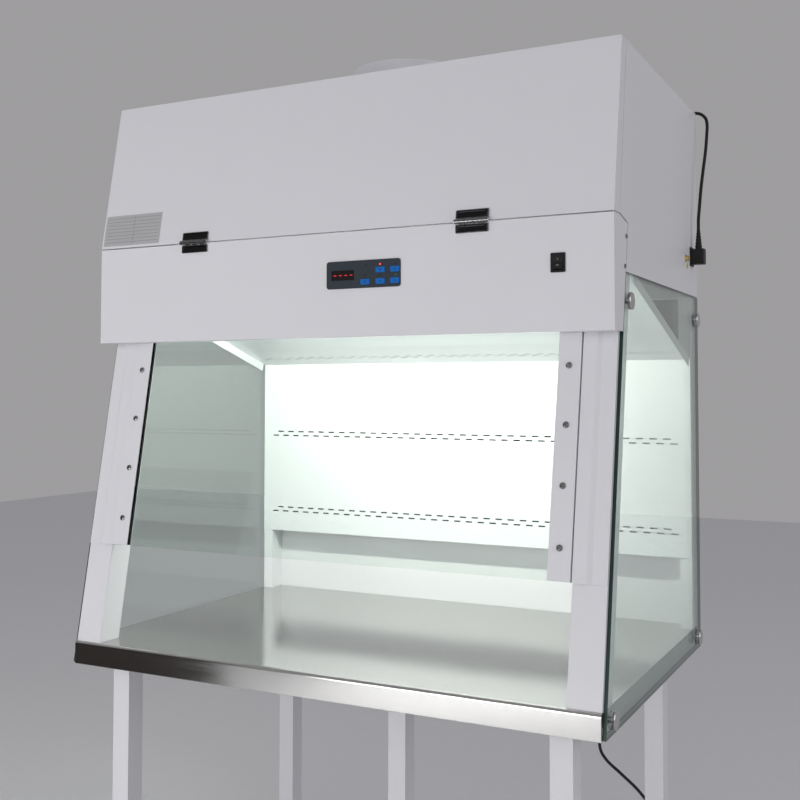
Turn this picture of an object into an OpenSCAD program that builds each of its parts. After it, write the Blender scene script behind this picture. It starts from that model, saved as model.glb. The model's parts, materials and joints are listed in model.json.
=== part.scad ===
// Benchtop biosafety cabinet on a welded tube stand.
// Lengths are millimetres. +Z is up, the front faces -Y and +X is the right-hand side.
// The origin is on the floor, under the middle of the cabinet.
// Most modules are drawn from the flap's datum: the middle of the control flap's
// lower front edge, with z = 0 there and y = 0 on the flap's front face.

/* [Cabinet] */
// Outside width over the two side glasses
cabinet_w = 1050; // [900:10:1300]
// Depth from the flap's front face to the back panel
cabinet_d = 595; // [540:5:680]
// Lean of the posts and of the upper front panel, in degrees
lean = 10; // [8:0.5:11]
// Height of the upper front panel
hood_front_h = 293; // [285:1:360]
// Height from the table apron's lower edge to the flap's lower edge
chamber_h = 613; // [560:1:700]
// Thickness of the painted steel sheet
sheet = 1.5; // [1:0.1:2]
// How far above the flap's lower edge the housing begins
hood_base = 97; // [85:1:110]

/* [Control flap] */
// Height of the control flap
flap_h = 185; // [180:1:200]
// Seam between the flap and the upper front panel
seam = 2; // [1.5:0.1:3]
// Depth of the flap's lower return
flap_return = 34; // [20:1:34]
// Gap between the flap's side returns and the side panels
flap_gap = 2; // [1.5:0.1:3]

/* [Hinges] */
// Distance of the left hinge from the cabinet's middle
hinge_left = 292; // [200:1:350]
// Distance of the right hinge from the cabinet's middle
hinge_right = 283; // [200:1:350]
// Width of a hinge
hinge_w = 60; // [50:1:80]
// Height of each hinge leaf beyond the pin
leaf_h = 19.5; // [16:0.5:28]
// Thickness of a hinge leaf
leaf_t = 2; // [1.5:0.1:2.5]
// Radius of the hinge knuckles
knuckle_r = 4.2; // [4:0.1:5.8]
// Radius of the hinge pins
pin_r = 2; // [1.6:0.1:2.2]

/* [Work table] */
// How far the table reaches in front of the flap
table_front = 64; // [62:1:75]
// Height of the table's apron below its rolled edge
apron_h = 36; // [30:1:50]
// Radius of the rolled front edge
nose_r = 6; // [3:0.5:8]

/* [Glass] */
// Thickness of the side glasses
glass_t = 6; // [5:0.5:8]
// Thickness of the front sash glass
sash_t = 5; // [4:0.5:6]
// Height of the open access gap above the table
access_h = 183; // [150:1:220]
// How far the sash slides up
sash_travel = 170; // [100:5:175]
// Radius of the disc fixings of the side glasses
fixing_r = 14.5; // [10:0.5:15]
// How far the disc fixings stand proud of the glass
fixing_t = 5.8; // [5:0.1:12]

/* [Posts and guides] */
// Width of the front posts
post_w = 56; // [45:1:65]
// Depth of the front posts
post_d = 50; // [40:1:55]
// Width of the guide strips
strip_w = 38; // [34:1:44]
// Depth of the black sash channel
channel_d = 10; // [9:0.2:12]
// Spacing of the guide strip screws
screw_pitch = 94.8; // [80:0.2:110]

/* [Air path] */
// Pitch of the slots in the rear baffle
slot_pitch = 28.5; // [24:0.5:34]
// Length of a slot
slot_l = 16; // [12:0.5:18]
// Height of a slot
slot_h = 3; // [2:0.5:5]
// Radius of the exhaust collar
collar_r = 115; // [90:1:125]
// Height of the exhaust collar
collar_h = 74; // [50:1:100]
// Length of the filter
filter_w = 700; // [500:10:760]
// Depth of the filter
filter_d = 400; // [340:10:420]
// Height of the filter
filter_h = 69; // [50:1:78]
// Radius of the fan's impeller
impeller_r = 110; // [90:1:120]
// Number of impeller blades
blades = 7; // [5:1:9]

/* [Stand] */
// Height of the stand, floor to the table apron's lower edge
stand_h = 650; // [600:5:900]
// Side of the square tube
tube = 38; // [30:1:40]
// Wall of the square tube
tube_wall = 1.5; // [1.2:0.1:3]
// Distance from the cabinet's middle to the middle of a side leg
leg_x = 441.5; // [330:0.5:450]
// Height of the low rails' undersides above the floor
rail_z = 120; // [80:5:250]

/* [Controls] */
// Width of the keypad panel
keypad_w = 147.5; // [140:0.5:170]
// Height of the keypad panel
keypad_h = 48.5; // [46:0.5:60]
// Travel of a key
key_travel = 0.6; // [0.4:0.1:0.8]
// Tilt of the rocker to either side of its middle, in degrees
rocker_tilt = 6; // [4:1:8]

/* [Power lead] */
// Diameter of the power cord
cord_d = 6.5; // [6:0.1:7]
// Radius of the stored coil, at the middle of its turns
coil_r = 36; // [33:1:39]

/* [Hidden] */
$fn = 48;

WHITE = "#e9e8ec";
STEEL = "#b9b9b6";
POLISHED = "#9fa1a4";
DARK_CHROME = "#5c5c5e";
BLACK = "#1b1b1c";
SLATE = "#59626b";
KEY_BLUE = "#2f7fc4";
ALUMINIUM = "#c3c6c9";
GLASS = [0.75, 0.9, 0.82, 0.35];
PAPER = "#eef0ea";
BRASS = "#c9a24c";

// Shared heights and planes, from the flap's datum
slope = tan(lean);
half_w = cabinet_w / 2;
fit_gap = 0.5;                                  // gap behind a side glass
inner_half = half_w - glass_t - fit_gap;        // half width of all that stands between them
seam_z = flap_h + seam;                         // lower edge of the upper front panel
hood_top = seam_z + hood_front_h;
apron_z = -chamber_h;                           // lower edge of the table's apron
table_z = apron_z + apron_h + nose_r;           // working surface
sash_z = table_z + access_h;                    // lower edge of sash, strips and covers
floor_z = apron_z - stand_h;
back_y = cabinet_d;
wall_y = back_y - sheet;                        // inner face of the rear wall
mid_y = (back_y - table_front) / 2;

// Leaning stack at the front: n is the distance behind the guide strips' faces
glass_edge_y = 47;                              // front edge of the side glass at z = 0
strip_y = 35.7;                                 // front of the guide strips at z = 0
post_n = 6.6;                                   // front of the posts
sash_n = sheet + 2.6;                           // front of the sash glass
sash_clear = 0.3;                               // sash to channel, each side
strip_out = inner_half - post_w - 1.8;          // outer edge of a strip
strip_in = strip_out - strip_w;
channel_w = 15;                                 // how far the channel reaches round the glass
channel_out = strip_in + 0.8 + channel_w;
sash_half = channel_out - 2.5;
sash_top_z = hood_base - 15;
post_back = lean_y(post_n + post_d, hood_base);
post_in = inner_half - post_w;
post_hole_r = 4.1;
rail_d = 12.4;                                  // depth of the guide rail's bar

// Rear of the chamber
baffle_t = 1.2;
baffle_y = back_y - 43;                         // front face of the baffle
baffle_top = -31;
baffle_bottom = -431;
ceiling_slope = 17.74;
ceiling_front_y = 124;
ceiling_flange = 17.5;
rear_post_w = 23.5;
slot_rows = [-192.5, -202, -374.5, -384];       // heights of the slot lines

// Housing
deck_z = 200;
deck_top = deck_z + sheet;
wall_front_y = ceiling_front_y - 2 * sheet;     // front of the plenum's front wall
fan_y = 318;                                    // axis of collar, motor and impeller
filter_y = (wall_front_y + wall_y) / 2 - 10;
fan_box_top = deck_top + filter_h + 29.5;
eye_r = 75;
shroud_z = fan_box_top + 30;
backplate_z = shroud_z + 42;
motor_z = backplate_z + 4.5;
motor_h = 50;
shaft_r = 6;
hub_r = 16;
motor_top = motor_z + motor_h;
bracket_r = 163;

// Hinges
pin_y = -(knuckle_r + 0.4);
pin_z = seam_z;
knuckles = 7;
knuckle_gap = 0.3;

// Keypad: x from the cabinet's middle, z from the datum
keypad_x = 2;
keypad_z = 84.5;
keypad_t = 1.6;
board_y = 9;
board_t = 1.6;
window = [12, 99.3, 46, 17.6];                  // x, z, width and height
key_size = [17.8, 9.6];
key_clear = 0.25;
key_top_row = keypad_z + 30.4;
key_low_row = keypad_z + 10.6;
key_xs = [80.2, 110.5, 139.1];
led_r = 1.8;
leds = [[109.8, 124.5], [80.4, 124.9], [140.1, 124.2], [109.2, 105.3], [80.4, 105.3], [140.9, 104.7]];

// Rocker switch
rocker_x = half_w - 92.4;
rocker_z = 109.8;
bezel = [24.6, 31.4, 1.8];
pocket = [18, 24.6];
rocker_pivot_y = 3;

// Power inlet and lead
inlet_y = 542;
inlet_z = 175;
connector_x = half_w + 15;
relief_z = inlet_z + 53;
coil_x = 434;
coil_y = 715;
coil_bundle = 2 * cord_d + 0.4;
// The cord's route from the strain relief to the coil, from the flap's datum
cord_route = [
    [540, 542, 228.1], [540, 542.3, 240], [540, 544, 253], [541, 549, 276], [543, 556, 315],
    [546, 565, 355], [549, 575, 395], [550, 584, 430], [550, 588.5, 452], [546, 592.5, 467],
    [535, 597, 478], [520, 600, 482], [505, 602.5, 478], [494.6, 604.5, 467.5], [490.4, 605.5, 452],
    [488, 606, 425], [484, 607, 370], [476, 609, 280], [465, 612, 170], [452, 615, 50],
    [437, 619, -80], [420, 624, -220], [401, 629, -360], [379, 633, -500], [354, 637, -630],
    [326, 640, -740], [304, 641, -810], [297, 641, -858], [311, 641, -886], [345, 641, -912],
    [385, 641, -944], [420, 642, -990], [441, 644, -1050], [450, 646, -1115],
    [454, 650, -1175], [461, 659, -1222], [470, 674, -1248], [478, 694, -1258.3],
    [480.3, 715, -1259.7]
];

// ---------- helpers ----------

// Everything that is measured from the flap's datum
module at_datum() {
    translate([0, -mid_y, -floor_z])
        children();
}

// Extrudes an outline drawn in (y, z) along X, from x0 to x1
module along_x(x0, x1) {
    translate([x0, 0, 0])
        rotate([90, 0, 90])
            linear_extrude(x1 - x0)
                children();
}

// Both sides of the cabinet
module both_sides() {
    children();
    mirror([1, 0, 0])
        children();
}

// Frame of the leaning front: x as before, y behind the strips' faces, z up the slope
module on_lean(from_y = strip_y) {
    translate([0, from_y, 0])
        rotate([-lean, 0, 0])
            children();
}

// Height up the slope of a level z
function up_slope(z) = z / cos(lean);

// y of a plane that stands n behind the strips' faces, at height z
function lean_y(n, z) = strip_y + n / cos(lean) + z * slope;

// y of the side glass's front edge at height z
function edge_y(z) = glass_edge_y + z * slope;

// Rectangle with round corners, its lower left corner at the origin
module round_rect(w, h, r) {
    translate([r, 0])
        square([w - 2 * r, h]);
    translate([0, r])
        square([w, h - 2 * r]);
    for (x = [r, w - r], y = [r, h - r])
        translate([x, y])
            circle(r);
}

// Plate in the flap's plane, from y0 to y1, drawn in (x, z)
module in_flap_plane(y0, y1) {
    translate([0, y1, 0])
        rotate([90, 0, 0])
            linear_extrude(y1 - y0)
                children();
}

// Square tube along Z, open at both ends
module tube_z(x, y, z0, z1) {
    translate([x, y, z0])
        linear_extrude(z1 - z0)
            tube_section();
}

module tube_section() {
    difference() {
        square(tube, center = true);
        square(tube - 2 * tube_wall, center = true);
    }
}

// Square tube along X
module tube_x(x0, x1, y, z) {
    translate([x0, y, z])
        rotate([90, 0, 90])
            linear_extrude(x1 - x0)
                tube_section();
}

// Square tube along Y
module tube_y(y0, y1, x, z) {
    translate([x, y1, z])
        rotate([90, 0, 0])
            linear_extrude(y1 - y0)
                tube_section();
}

// ---------- stand ----------

front_leg_y = -2.4;
back_leg_y = back_y - 38;
centre_leg_y = 287;
cap_t = 5;
leg_top = table_z - sheet;
top_rail_z = leg_top - tube / 2;
low_rail_z = floor_z + rail_z + tube / 2;

// Side frame: two legs joined by a top rail and a low rail
module leg_frame() {
    color(WHITE) {
        for (y = [front_leg_y, back_leg_y])
            tube_z(leg_x, y, floor_z + cap_t, leg_top);
        for (z = [top_rail_z, low_rail_z])
            tube_y(front_leg_y + tube / 2, back_leg_y - tube / 2, leg_x, z);
    }
}

module right_leg_frame() {
    at_datum()
        leg_frame();
}

module left_leg_frame() {
    at_datum()
        mirror([1, 0, 0])
            leg_frame();
}

// Leg under the middle of the table
module centre_leg() {
    at_datum()
        color(WHITE)
            tube_z(0, centre_leg_y, floor_z + cap_t, top_rail_z - tube / 2);
}

// Three rails under the table and two low ones that meet at the centre leg
module cross_rails() {
    at_datum()
        color(WHITE) {
            for (y = [front_leg_y, centre_leg_y, back_leg_y])
                tube_x(-leg_x + tube / 2, leg_x - tube / 2, y, top_rail_z);
            both_sides()
                tube_x(tube / 2, leg_x - tube / 2, centre_leg_y, low_rail_z);
        }
}

// Plastic cap with a plug that fills the tube's end
module end_cap() {
    plug = tube - 2 * tube_wall - 0.4;
    chamfer = 2;
    linear_extrude(chamfer)
        square(tube - 2 * chamfer, center = true);
    translate([0, 0, chamfer])
        linear_extrude(cap_t - chamfer)
            square(tube, center = true);
    translate([0, 0, cap_t])
        linear_extrude(18)
            difference() {
                square(plug, center = true);
                square(plug - 5, center = true);
            }
}

module leg_end_caps() {
    at_datum()
        color(BLACK)
            for (p = [[-leg_x, front_leg_y], [leg_x, front_leg_y], [-leg_x, back_leg_y],
                      [leg_x, back_leg_y], [0, centre_leg_y]])
                translate([p[0], p[1], floor_z])
                    end_cap();
}

// ---------- work table ----------

table_back = wall_y - 1;
hem = 14;

// Folded section of the table: hem, front apron, rolled edge, surface, rear apron, hem
module table_section() {
    r = nose_r;
    front = -table_front;
    outer = [for (a = [180:-15:90]) [front + r + r * cos(a), table_z - r + r * sin(a)]];
    inner = [for (a = [90:15:180])
        [front + r + (r - sheet) * cos(a), table_z - r + (r - sheet) * sin(a)]];
    polygon(concat(
        [[front + hem, apron_z], [front, apron_z]], outer,
        [[table_back, table_z], [table_back, apron_z], [table_back - hem, apron_z],
         [table_back - hem, apron_z + sheet], [table_back - sheet, apron_z + sheet],
         [table_back - sheet, table_z - sheet]], inner,
        [[front + sheet, apron_z + sheet], [front + hem, apron_z + sheet]]
    ));
}

// Filled outline of the same section, for the folded-down ends
module table_end_outline() {
    r = nose_r;
    front = -table_front;
    polygon(concat(
        [[front, apron_z]],
        [for (a = [180:-15:90]) [front + r + r * cos(a), table_z - r + r * sin(a)]],
        [[table_back, table_z], [table_back, apron_z]]
    ));
}

module work_table() {
    at_datum()
        color(STEEL) {
            along_x(-inner_half, inner_half)
                table_section();
            both_sides()
                difference() {
                    along_x(inner_half - sheet, inner_half)
                        table_end_outline();
                    for (p = low_fixings)
                        fixing_hole(p, post_hole_r);
                }
        }
}

// ---------- front posts, covers and sash guides ----------

// Leaning outline between two planes and two levels, drawn in (y, z)
module lean_outline(n0, n1, z0, z1) {
    polygon([[lean_y(n0, z0), z0], [lean_y(n1, z0), z0], [lean_y(n1, z1), z1],
             [lean_y(n0, z1), z1]]);
}

// Closed folded post that stands on the table and carries the housing
module front_posts() {
    at_datum()
        color(WHITE)
            both_sides()
                difference() {
                    along_x(post_in, inner_half)
                        lean_outline(post_n, post_n + post_d, table_z, hood_base);
                    along_x(post_in + sheet, inner_half - sheet)
                        lean_outline(post_n + sheet, post_n + post_d - sheet,
                                     table_z - 1, hood_base + 1);
                    fixing_hole(high_front_fixing, post_hole_r);
                }
}

// Joggled cover over a post: its inner half stands proud and has a returned edge
module post_covers() {
    proud = 4.5;
    crease = post_in + 23;
    flat = post_in + 31;
    at_datum()
        color(WHITE)
            both_sides()
                on_lean()
                    translate([0, 0, up_slope(sash_z) - 1])
                        linear_extrude(up_slope(hood_base - 4 - sash_z))
                            polygon([
                                [post_in, post_n], [post_in, post_n - proud],
                                [crease, post_n - proud], [flat, post_n - sheet],
                                [inner_half, post_n - sheet], [inner_half, post_n],
                                [flat - 0.4, post_n], [crease - 0.4, post_n - proud + sheet],
                                [post_in + sheet, post_n - proud + sheet],
                                [post_in + sheet, post_n]
                            ]);
}

screw_levels = [for (i = [0:3]) -53.3 - i * screw_pitch];
screw_x = strip_in + 18.3;

// Folded strip that holds the sash channel from the front
module guide_strips() {
    at_datum()
        color(WHITE)
            both_sides()
                on_lean()
                    difference() {
                        translate([0, 0, up_slope(sash_z)])
                            linear_extrude(up_slope(hood_base - 5 - sash_z))
                                polygon([
                                    [strip_in, 0], [strip_out, 0], [strip_out, 9],
                                    [strip_out - sheet, 9], [strip_out - sheet, sheet],
                                    [strip_in, sheet]
                                ]);
                        for (z = screw_levels)
                            translate([screw_x, 0, up_slope(z)])
                                rotate([90, 0, 0])
                                    cylinder(r = 2.6, h = 8, center = true);
                    }
}

// Aluminium bar with a flange along the post: it carries the strip and the channel
module guide_rails() {
    bar_out = strip_out - sheet - 0.3;
    at_datum()
        color(ALUMINIUM)
            both_sides()
                on_lean()
                    difference() {
                        translate([0, 0, up_slope(sash_z) + 1])
                            linear_extrude(up_slope(hood_base - 6 - sash_z))
                                polygon([
                                    [channel_out, sheet], [bar_out, sheet],
                                    [bar_out, sheet + rail_d - 2], [post_in, sheet + rail_d - 2],
                                    [post_in, sheet + 34], [post_in - 2, sheet + 34],
                                    [post_in - 2, sheet + rail_d], [channel_out, sheet + rail_d]
                                ]);
                        for (z = screw_levels)
                            translate([screw_x, sheet - 1, up_slope(z)])
                                rotate([-90, 0, 0])
                                    cylinder(r = 2, h = 11);
                    }
}

// Black U channel in which each edge of the sash runs
module sash_channels() {
    slot_0 = sash_n - sash_clear;
    slot_1 = sash_n + sash_t + sash_clear;
    at_datum()
        color(BLACK)
            both_sides()
                on_lean()
                    translate([0, 0, up_slope(sash_z) + 1])
                        linear_extrude(up_slope(hood_base - 6 - sash_z))
                            polygon([
                                [channel_out - channel_w, sheet], [channel_out, sheet],
                                [channel_out, sheet + channel_d],
                                [channel_out - channel_w, sheet + channel_d],
                                [channel_out - channel_w, slot_1], [channel_out - 2, slot_1],
                                [channel_out - 2, slot_0], [channel_out - channel_w, slot_0]
                            ]);
}

// Pan head screws of the guide strips
module strip_screws() {
    at_datum()
        color(POLISHED)
            both_sides()
                on_lean()
                    for (z = screw_levels)
                        translate([screw_x, 0, up_slope(z)])
                            rotate([-90, 0, 0])
                                pan_screw(5.4, 2.8, 1.95, 9);
}

// Screw along +Z with its head below z = 0, a cross recess in the head
module pan_screw(head_r, head_h, shank_r, shank_l) {
    difference() {
        union() {
            rotate_extrude()
                polygon([[0, 0], [0, -head_h], [head_r * 0.55, -head_h],
                         [head_r * 0.85, -head_h * 0.75], [head_r, -head_h * 0.3], [head_r, 0]]);
            cylinder(r = shank_r, h = shank_l);
        }
        for (a = [0, 90])
            rotate([0, 0, a])
                translate([-head_r * 0.55, -0.5, -head_h - 0.1])
                    cube([head_r * 1.1, 1, 1.2]);
    }
}

// Sash glass with small corner radii
module front_sash() {
    at_datum()
        color(GLASS)
            on_lean()
                translate([-sash_half, sash_n + sash_t, up_slope(sash_z)])
                    rotate([90, 0, 0])
                        linear_extrude(sash_t)
                            round_rect(2 * sash_half, up_slope(sash_top_z - sash_z), 3);
}

// ---------- side glasses ----------

high_front_fixing = [82, hood_base - 46];
high_back_fixing = [back_y - 15, hood_base - 47];
low_fixings = [[-23, apron_z + 23], [back_y - 19, apron_z + 23]];
glass_hole_r = 5;

// Hole along X at a fixing's place (y, z)
module fixing_hole(p, r) {
    along_x(inner_half - 5, half_w + 1)
        translate(p)
            circle(r);
}

module side_glass() {
    top = hood_base - sheet;
    bottom = apron_z + 2;
    color(GLASS)
        difference() {
            along_x(half_w - glass_t, half_w)
                polygon([[edge_y(bottom), bottom], [back_y, bottom], [back_y, top],
                         [edge_y(top), top]]);
            for (p = concat([high_front_fixing, high_back_fixing], low_fixings))
                fixing_hole(p, glass_hole_r);
        }
}

module right_side_glass() {
    at_datum()
        side_glass();
}

module left_side_glass() {
    at_datum()
        mirror([1, 0, 0])
            side_glass();
}

// Polished disc with a stud through the glass into the post or the apron
module glass_fixing() {
    rotate([0, 90, 0])
        rotate_extrude()
            polygon([
                [0, -18], [post_hole_r - 0.1, -18], [post_hole_r - 0.1, -glass_t],
                [glass_hole_r - 0.2, -glass_t], [glass_hole_r - 0.2, 0], [fixing_r, 0],
                [fixing_r, fixing_t * 0.32], [fixing_r - 2.4, fixing_t * 0.4],
                [fixing_r - 2.4, fixing_t * 0.54], [fixing_r, fixing_t * 0.62],
                [fixing_r, fixing_t - 1], [fixing_r - 1, fixing_t], [0, fixing_t]
            ]);
}

module glass_fixings() {
    at_datum()
        color(POLISHED)
            both_sides()
                for (p = concat([high_front_fixing, high_back_fixing], low_fixings))
                    translate([half_w, p[0], p[1]])
                        glass_fixing();
}

// ---------- rear of the chamber ----------

// Folded rear post, open towards the wall
module rear_posts() {
    y0 = baffle_y + baffle_t;
    at_datum()
        color(WHITE)
            both_sides()
                difference() {
                    translate([inner_half - rear_post_w, y0, table_z])
                        cube([rear_post_w, wall_y - y0, hood_base - table_z]);
                    translate([inner_half - rear_post_w + sheet, y0 + sheet, table_z - 1])
                        cube([rear_post_w - 2 * sheet, wall_y - y0, hood_base - table_z + 2]);
                    fixing_hole(high_back_fixing, post_hole_r);
                }
}

module rear_wall() {
    at_datum()
        color(WHITE)
            along_x(-inner_half, inner_half)
                polygon([[wall_y, apron_z], [back_y, apron_z], [back_y, hood_base - sheet],
                         [wall_y, hood_base - sheet]]);
}

slots_long = floor((2 * inner_half - 60) / slot_pitch);

// One line of round-ended slots about x = 0, drawn flat
module slot_line(count) {
    for (i = [0:count - 1])
        translate([(i - (count - 1) / 2) * slot_pitch - slot_l / 2, -slot_h / 2])
            round_rect(slot_l, slot_h, slot_h / 2 - 0.01);
}

// Slotted rear baffle with its upper and lower edges folded back
module rear_baffle() {
    fold = 16;
    at_datum()
        color(WHITE) {
            in_flap_plane(baffle_y, baffle_y + baffle_t)
                difference() {
                    translate([-inner_half, baffle_bottom])
                        square([2 * inner_half, baffle_top - baffle_bottom]);
                    for (i = [0:3])
                        translate([0, slot_rows[i]])
                            slot_line(slots_long + i % 2);
                }
            along_x(-inner_half + rear_post_w + 1, inner_half - rear_post_w - 1)
                polygon([[baffle_y, baffle_bottom], [baffle_y + fold, baffle_bottom],
                         [baffle_y + fold, baffle_bottom + baffle_t],
                         [baffle_y, baffle_bottom + baffle_t]]);
        }
}

ceiling_run = (baffle_y - ceiling_front_y + sheet / 2) / cos(ceiling_slope);
ceiling_rise = (baffle_y - ceiling_front_y) * tan(ceiling_slope);

// Ceiling tray: slotted sheet, side flanges turned down, front edge turned up
module sloped_ceiling() {
    slots_up = 48;
    at_datum()
        color(WHITE) {
            translate([0, baffle_y, baffle_top])
                rotate([-ceiling_slope, 0, 0]) {
                    translate([0, -ceiling_run, 0])
                        linear_extrude(baffle_t)
                            difference() {
                                translate([-inner_half, 0])
                                    square([2 * inner_half, ceiling_run]);
                                for (i = [0, 1])
                                    translate([0, ceiling_run - slots_up + 9.5 * i])
                                        slot_line(slots_long + i);
                            }
                    both_sides()
                        translate([inner_half - baffle_t, 14 - ceiling_run, -ceiling_flange])
                            cube([baffle_t, ceiling_run - 22, ceiling_flange + baffle_t / 2]);
                }
            translate([-inner_half, ceiling_front_y - sheet, baffle_top + ceiling_rise - 0.8])
                cube([2 * inner_half, sheet, 24]);
        }
}

// ---------- housing ----------

flap_top_y = 30;                                // where the flap's return starts to slope down
flap_knee_z = flap_h - 9;                       // where it meets the leaning edge
return_low = 30;                                // depth of the upper panel's return, low end
return_high = 25;                               // and at the top
nose_gap = 1.2;
panel_top = hood_top - sheet;                   // under the top panel
front_top_y = hood_front_h * slope;

function panel_edge(z) = edge_y(z) + 0.8;

// Side panel outline in (y, z), with a nose over the flap's return
module side_panel_outline() {
    polygon([
        [panel_edge(hood_base), hood_base], [panel_edge(flap_knee_z), flap_knee_z + seam],
        [flap_top_y + nose_gap, seam_z + seam / 2],
        [return_low + nose_gap, seam_z + seam],
        [front_top_y + return_high - 0.3 + nose_gap, panel_top],
        [wall_y, panel_top], [wall_y, hood_base]
    ]);
}

// Side panel: sheet, inward flanges, and a joggled edge behind the flap with slots
// that let the flap's screws swing out forwards
module side_panel() {
    flange = 22;
    joggle = half_w - 2 * sheet - 1.2;
    color(WHITE)
        difference() {
            union() {
                along_x(half_w - sheet, half_w)
                    side_panel_outline();
                translate([inner_half + 0.3, panel_edge(hood_base) + 4, hood_base])
                    cube([half_w - inner_half - 1, wall_y - panel_edge(hood_base) - 4, sheet]);
                for (y = [[panel_edge(hood_base) + 4, post_back], [ceiling_front_y + 46, wall_y]])
                    translate([half_w - flange, y[0], hood_base])
                        cube([flange - sheet / 2, y[1] - y[0], sheet]);
                translate([half_w - flange, front_top_y + return_high + 8, panel_top - sheet])
                    cube([flange - sheet / 2, wall_y - front_top_y - return_high - 8, sheet]);
                translate([half_w - flange, wall_y - sheet, hood_base])
                    cube([flange - sheet / 2, sheet, panel_top - hood_base]);
                along_x(joggle - sheet, joggle)
                    joggle_outline(-20, 9);
                along_x(joggle - sheet, half_w - sheet / 2)
                    joggle_outline(3, 9);
            }
            for (p = flap_fixings)
                screw_slot(p);
        }
}

// Band along the side panel's leaning edge, between two distances from that edge
module joggle_outline(from, to) {
    low = hood_base + 3;
    high = flap_knee_z - 6;
    polygon([[panel_edge(low) + from, low], [panel_edge(low) + to, low],
             [panel_edge(high) + to, high], [panel_edge(high) + from, high]]);
}

flap_fixings = [[57, 97.3 + 8], [66, 154.5]];   // y and z of the flap's side screws

// Slot for a flap screw, open along the arc the screw takes when the flap swings
module screw_slot(p) {
    clear = 2.6;
    arm = norm([p[0] - pin_y, p[1] - pin_z]);
    start = atan2(p[1] - pin_z, p[0] - pin_y);
    along_x(half_w - 8, half_w - sheet - 0.1) {
        translate(p)
            circle(clear);
        translate([pin_y, pin_z])
            intersection() {
                difference() {
                    circle(arm + clear, $fn = 96);
                    circle(arm - clear, $fn = 96);
                }
                polygon([[0, 0], 2 * arm * [cos(start), sin(start)],
                         2 * arm * [cos(start - 30), sin(start - 30)]]);
            }
    }
}

module right_side_panel() {
    at_datum()
        difference() {
            side_panel();
            inlet_cut_out();
            along_x(half_w - 4, half_w + 1)
                translate(earth_place)
                    circle(3.2);
        }
}

module left_side_panel() {
    at_datum()
        mirror([1, 0, 0])
            side_panel();
}

// Flat top with the opening for the exhaust collar
module top_panel() {
    front = front_top_y + sheet / cos(lean) + 0.1;
    at_datum()
        color(WHITE)
            translate([0, 0, panel_top])
                linear_extrude(sheet)
                    difference() {
                        translate([-half_w, front])
                            square([cabinet_w, back_y - front]);
                        translate([0, fan_y])
                            circle(collar_r - sheet, $fn = 96);
                    }
}

module back_panel() {
    at_datum()
        color(WHITE)
            along_x(-half_w, half_w)
                polygon([[wall_y, hood_base], [back_y, hood_base], [back_y, panel_top],
                         [wall_y, panel_top]]);
}

// Leaning front panel with flanges top and bottom and a return at each side
module upper_front_panel() {
    t = sheet / cos(lean);
    at_datum()
        color(WHITE) {
            along_x(-half_w, half_w)
                polygon([
                    [0, seam_z], [28, seam_z], [28, seam_z + sheet],
                    [t + sheet * slope, seam_z + sheet],
                    [front_top_y - sheet * slope * 2 + t, panel_top - sheet],
                    [front_top_y + 22, panel_top - sheet], [front_top_y + 22, panel_top],
                    [front_top_y - sheet * slope + t, panel_top],
                    [front_top_y + t, hood_top], [front_top_y, hood_top]
                ]);
            both_sides()
                along_x(half_w - sheet, half_w)
                    polygon([
                        [0, seam_z], [return_low, seam_z],
                        [front_top_y + return_high - 0.3, panel_top],
                        [front_top_y - sheet * slope, panel_top]
                    ]);
        }
}

// Folded beam behind the seam, from side to side
module front_beam() {
    low = seam_z + sheet;
    high = low + 26;
    at_datum()
        color(WHITE)
            along_x(-half_w + sheet, half_w - sheet)
                polygon([[5, low], [48, low], [48, high], [38, high], [38, high - sheet],
                         [48 - sheet, high - sheet], [48 - sheet, low + sheet],
                         [5, low + sheet]]);
}

// Exhaust spigot with its flange on the top panel
module exhaust_collar() {
    at_datum()
        color(WHITE)
            translate([0, fan_y, hood_top])
                rotate_extrude($fn = 96)
                    polygon([
                        [collar_r - sheet, 0], [collar_r + 22, 0], [collar_r + 22, sheet],
                        [collar_r, sheet], [collar_r, collar_h - 0.5],
                        [collar_r - 0.5, collar_h], [collar_r - sheet, collar_h]
                    ]);
}

// ---------- filter and fan ----------

// Deck that carries the filter and the fan box
module filter_deck() {
    lip = 20;
    at_datum()
        color(WHITE)
            translate([0, 0, deck_z])
                linear_extrude(sheet)
                    difference() {
                        translate([-half_w + sheet + 0.2, wall_front_y])
                            square([cabinet_w - 2 * sheet - 0.4, wall_y - sheet - wall_front_y]);
                        translate([-filter_w / 2 + lip, filter_y - filter_d / 2 + lip])
                            square([filter_w - 2 * lip, filter_d - 2 * lip]);
                    }
}

frame_wall = 14;

// Rectangular filter frame
module filter_frame() {
    at_datum()
        color(ALUMINIUM)
            translate([0, filter_y, deck_top])
                linear_extrude(filter_h)
                    difference() {
                        square([filter_w, filter_d], center = true);
                        square([filter_w - 2 * frame_wall, filter_d - 2 * frame_wall],
                               center = true);
                    }
}

// Folded filter paper: a zigzag sheet inside the frame
module filter_pleats() {
    run = filter_w - 2 * frame_wall - 0.6;
    pitch = 14;
    folds = floor(run / pitch);
    paper = 1.5;
    low = 6;
    high = filter_h - 6;
    zigzag = [for (i = [0:2 * folds])
        [-folds * pitch / 2 + i * pitch / 2, i % 2 == 0 ? low : high - paper]];
    ends = [for (p = zigzag) [p[0], p[1] + paper * 4]];
    at_datum()
        color(PAPER)
            translate([0, filter_y, deck_top])
                rotate([90, 0, 0])
                    linear_extrude(filter_d - 2 * frame_wall - 0.6, center = true)
                        polygon(concat(zigzag, [for (i = [2 * folds:-1:0]) ends[i]]));
}

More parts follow.
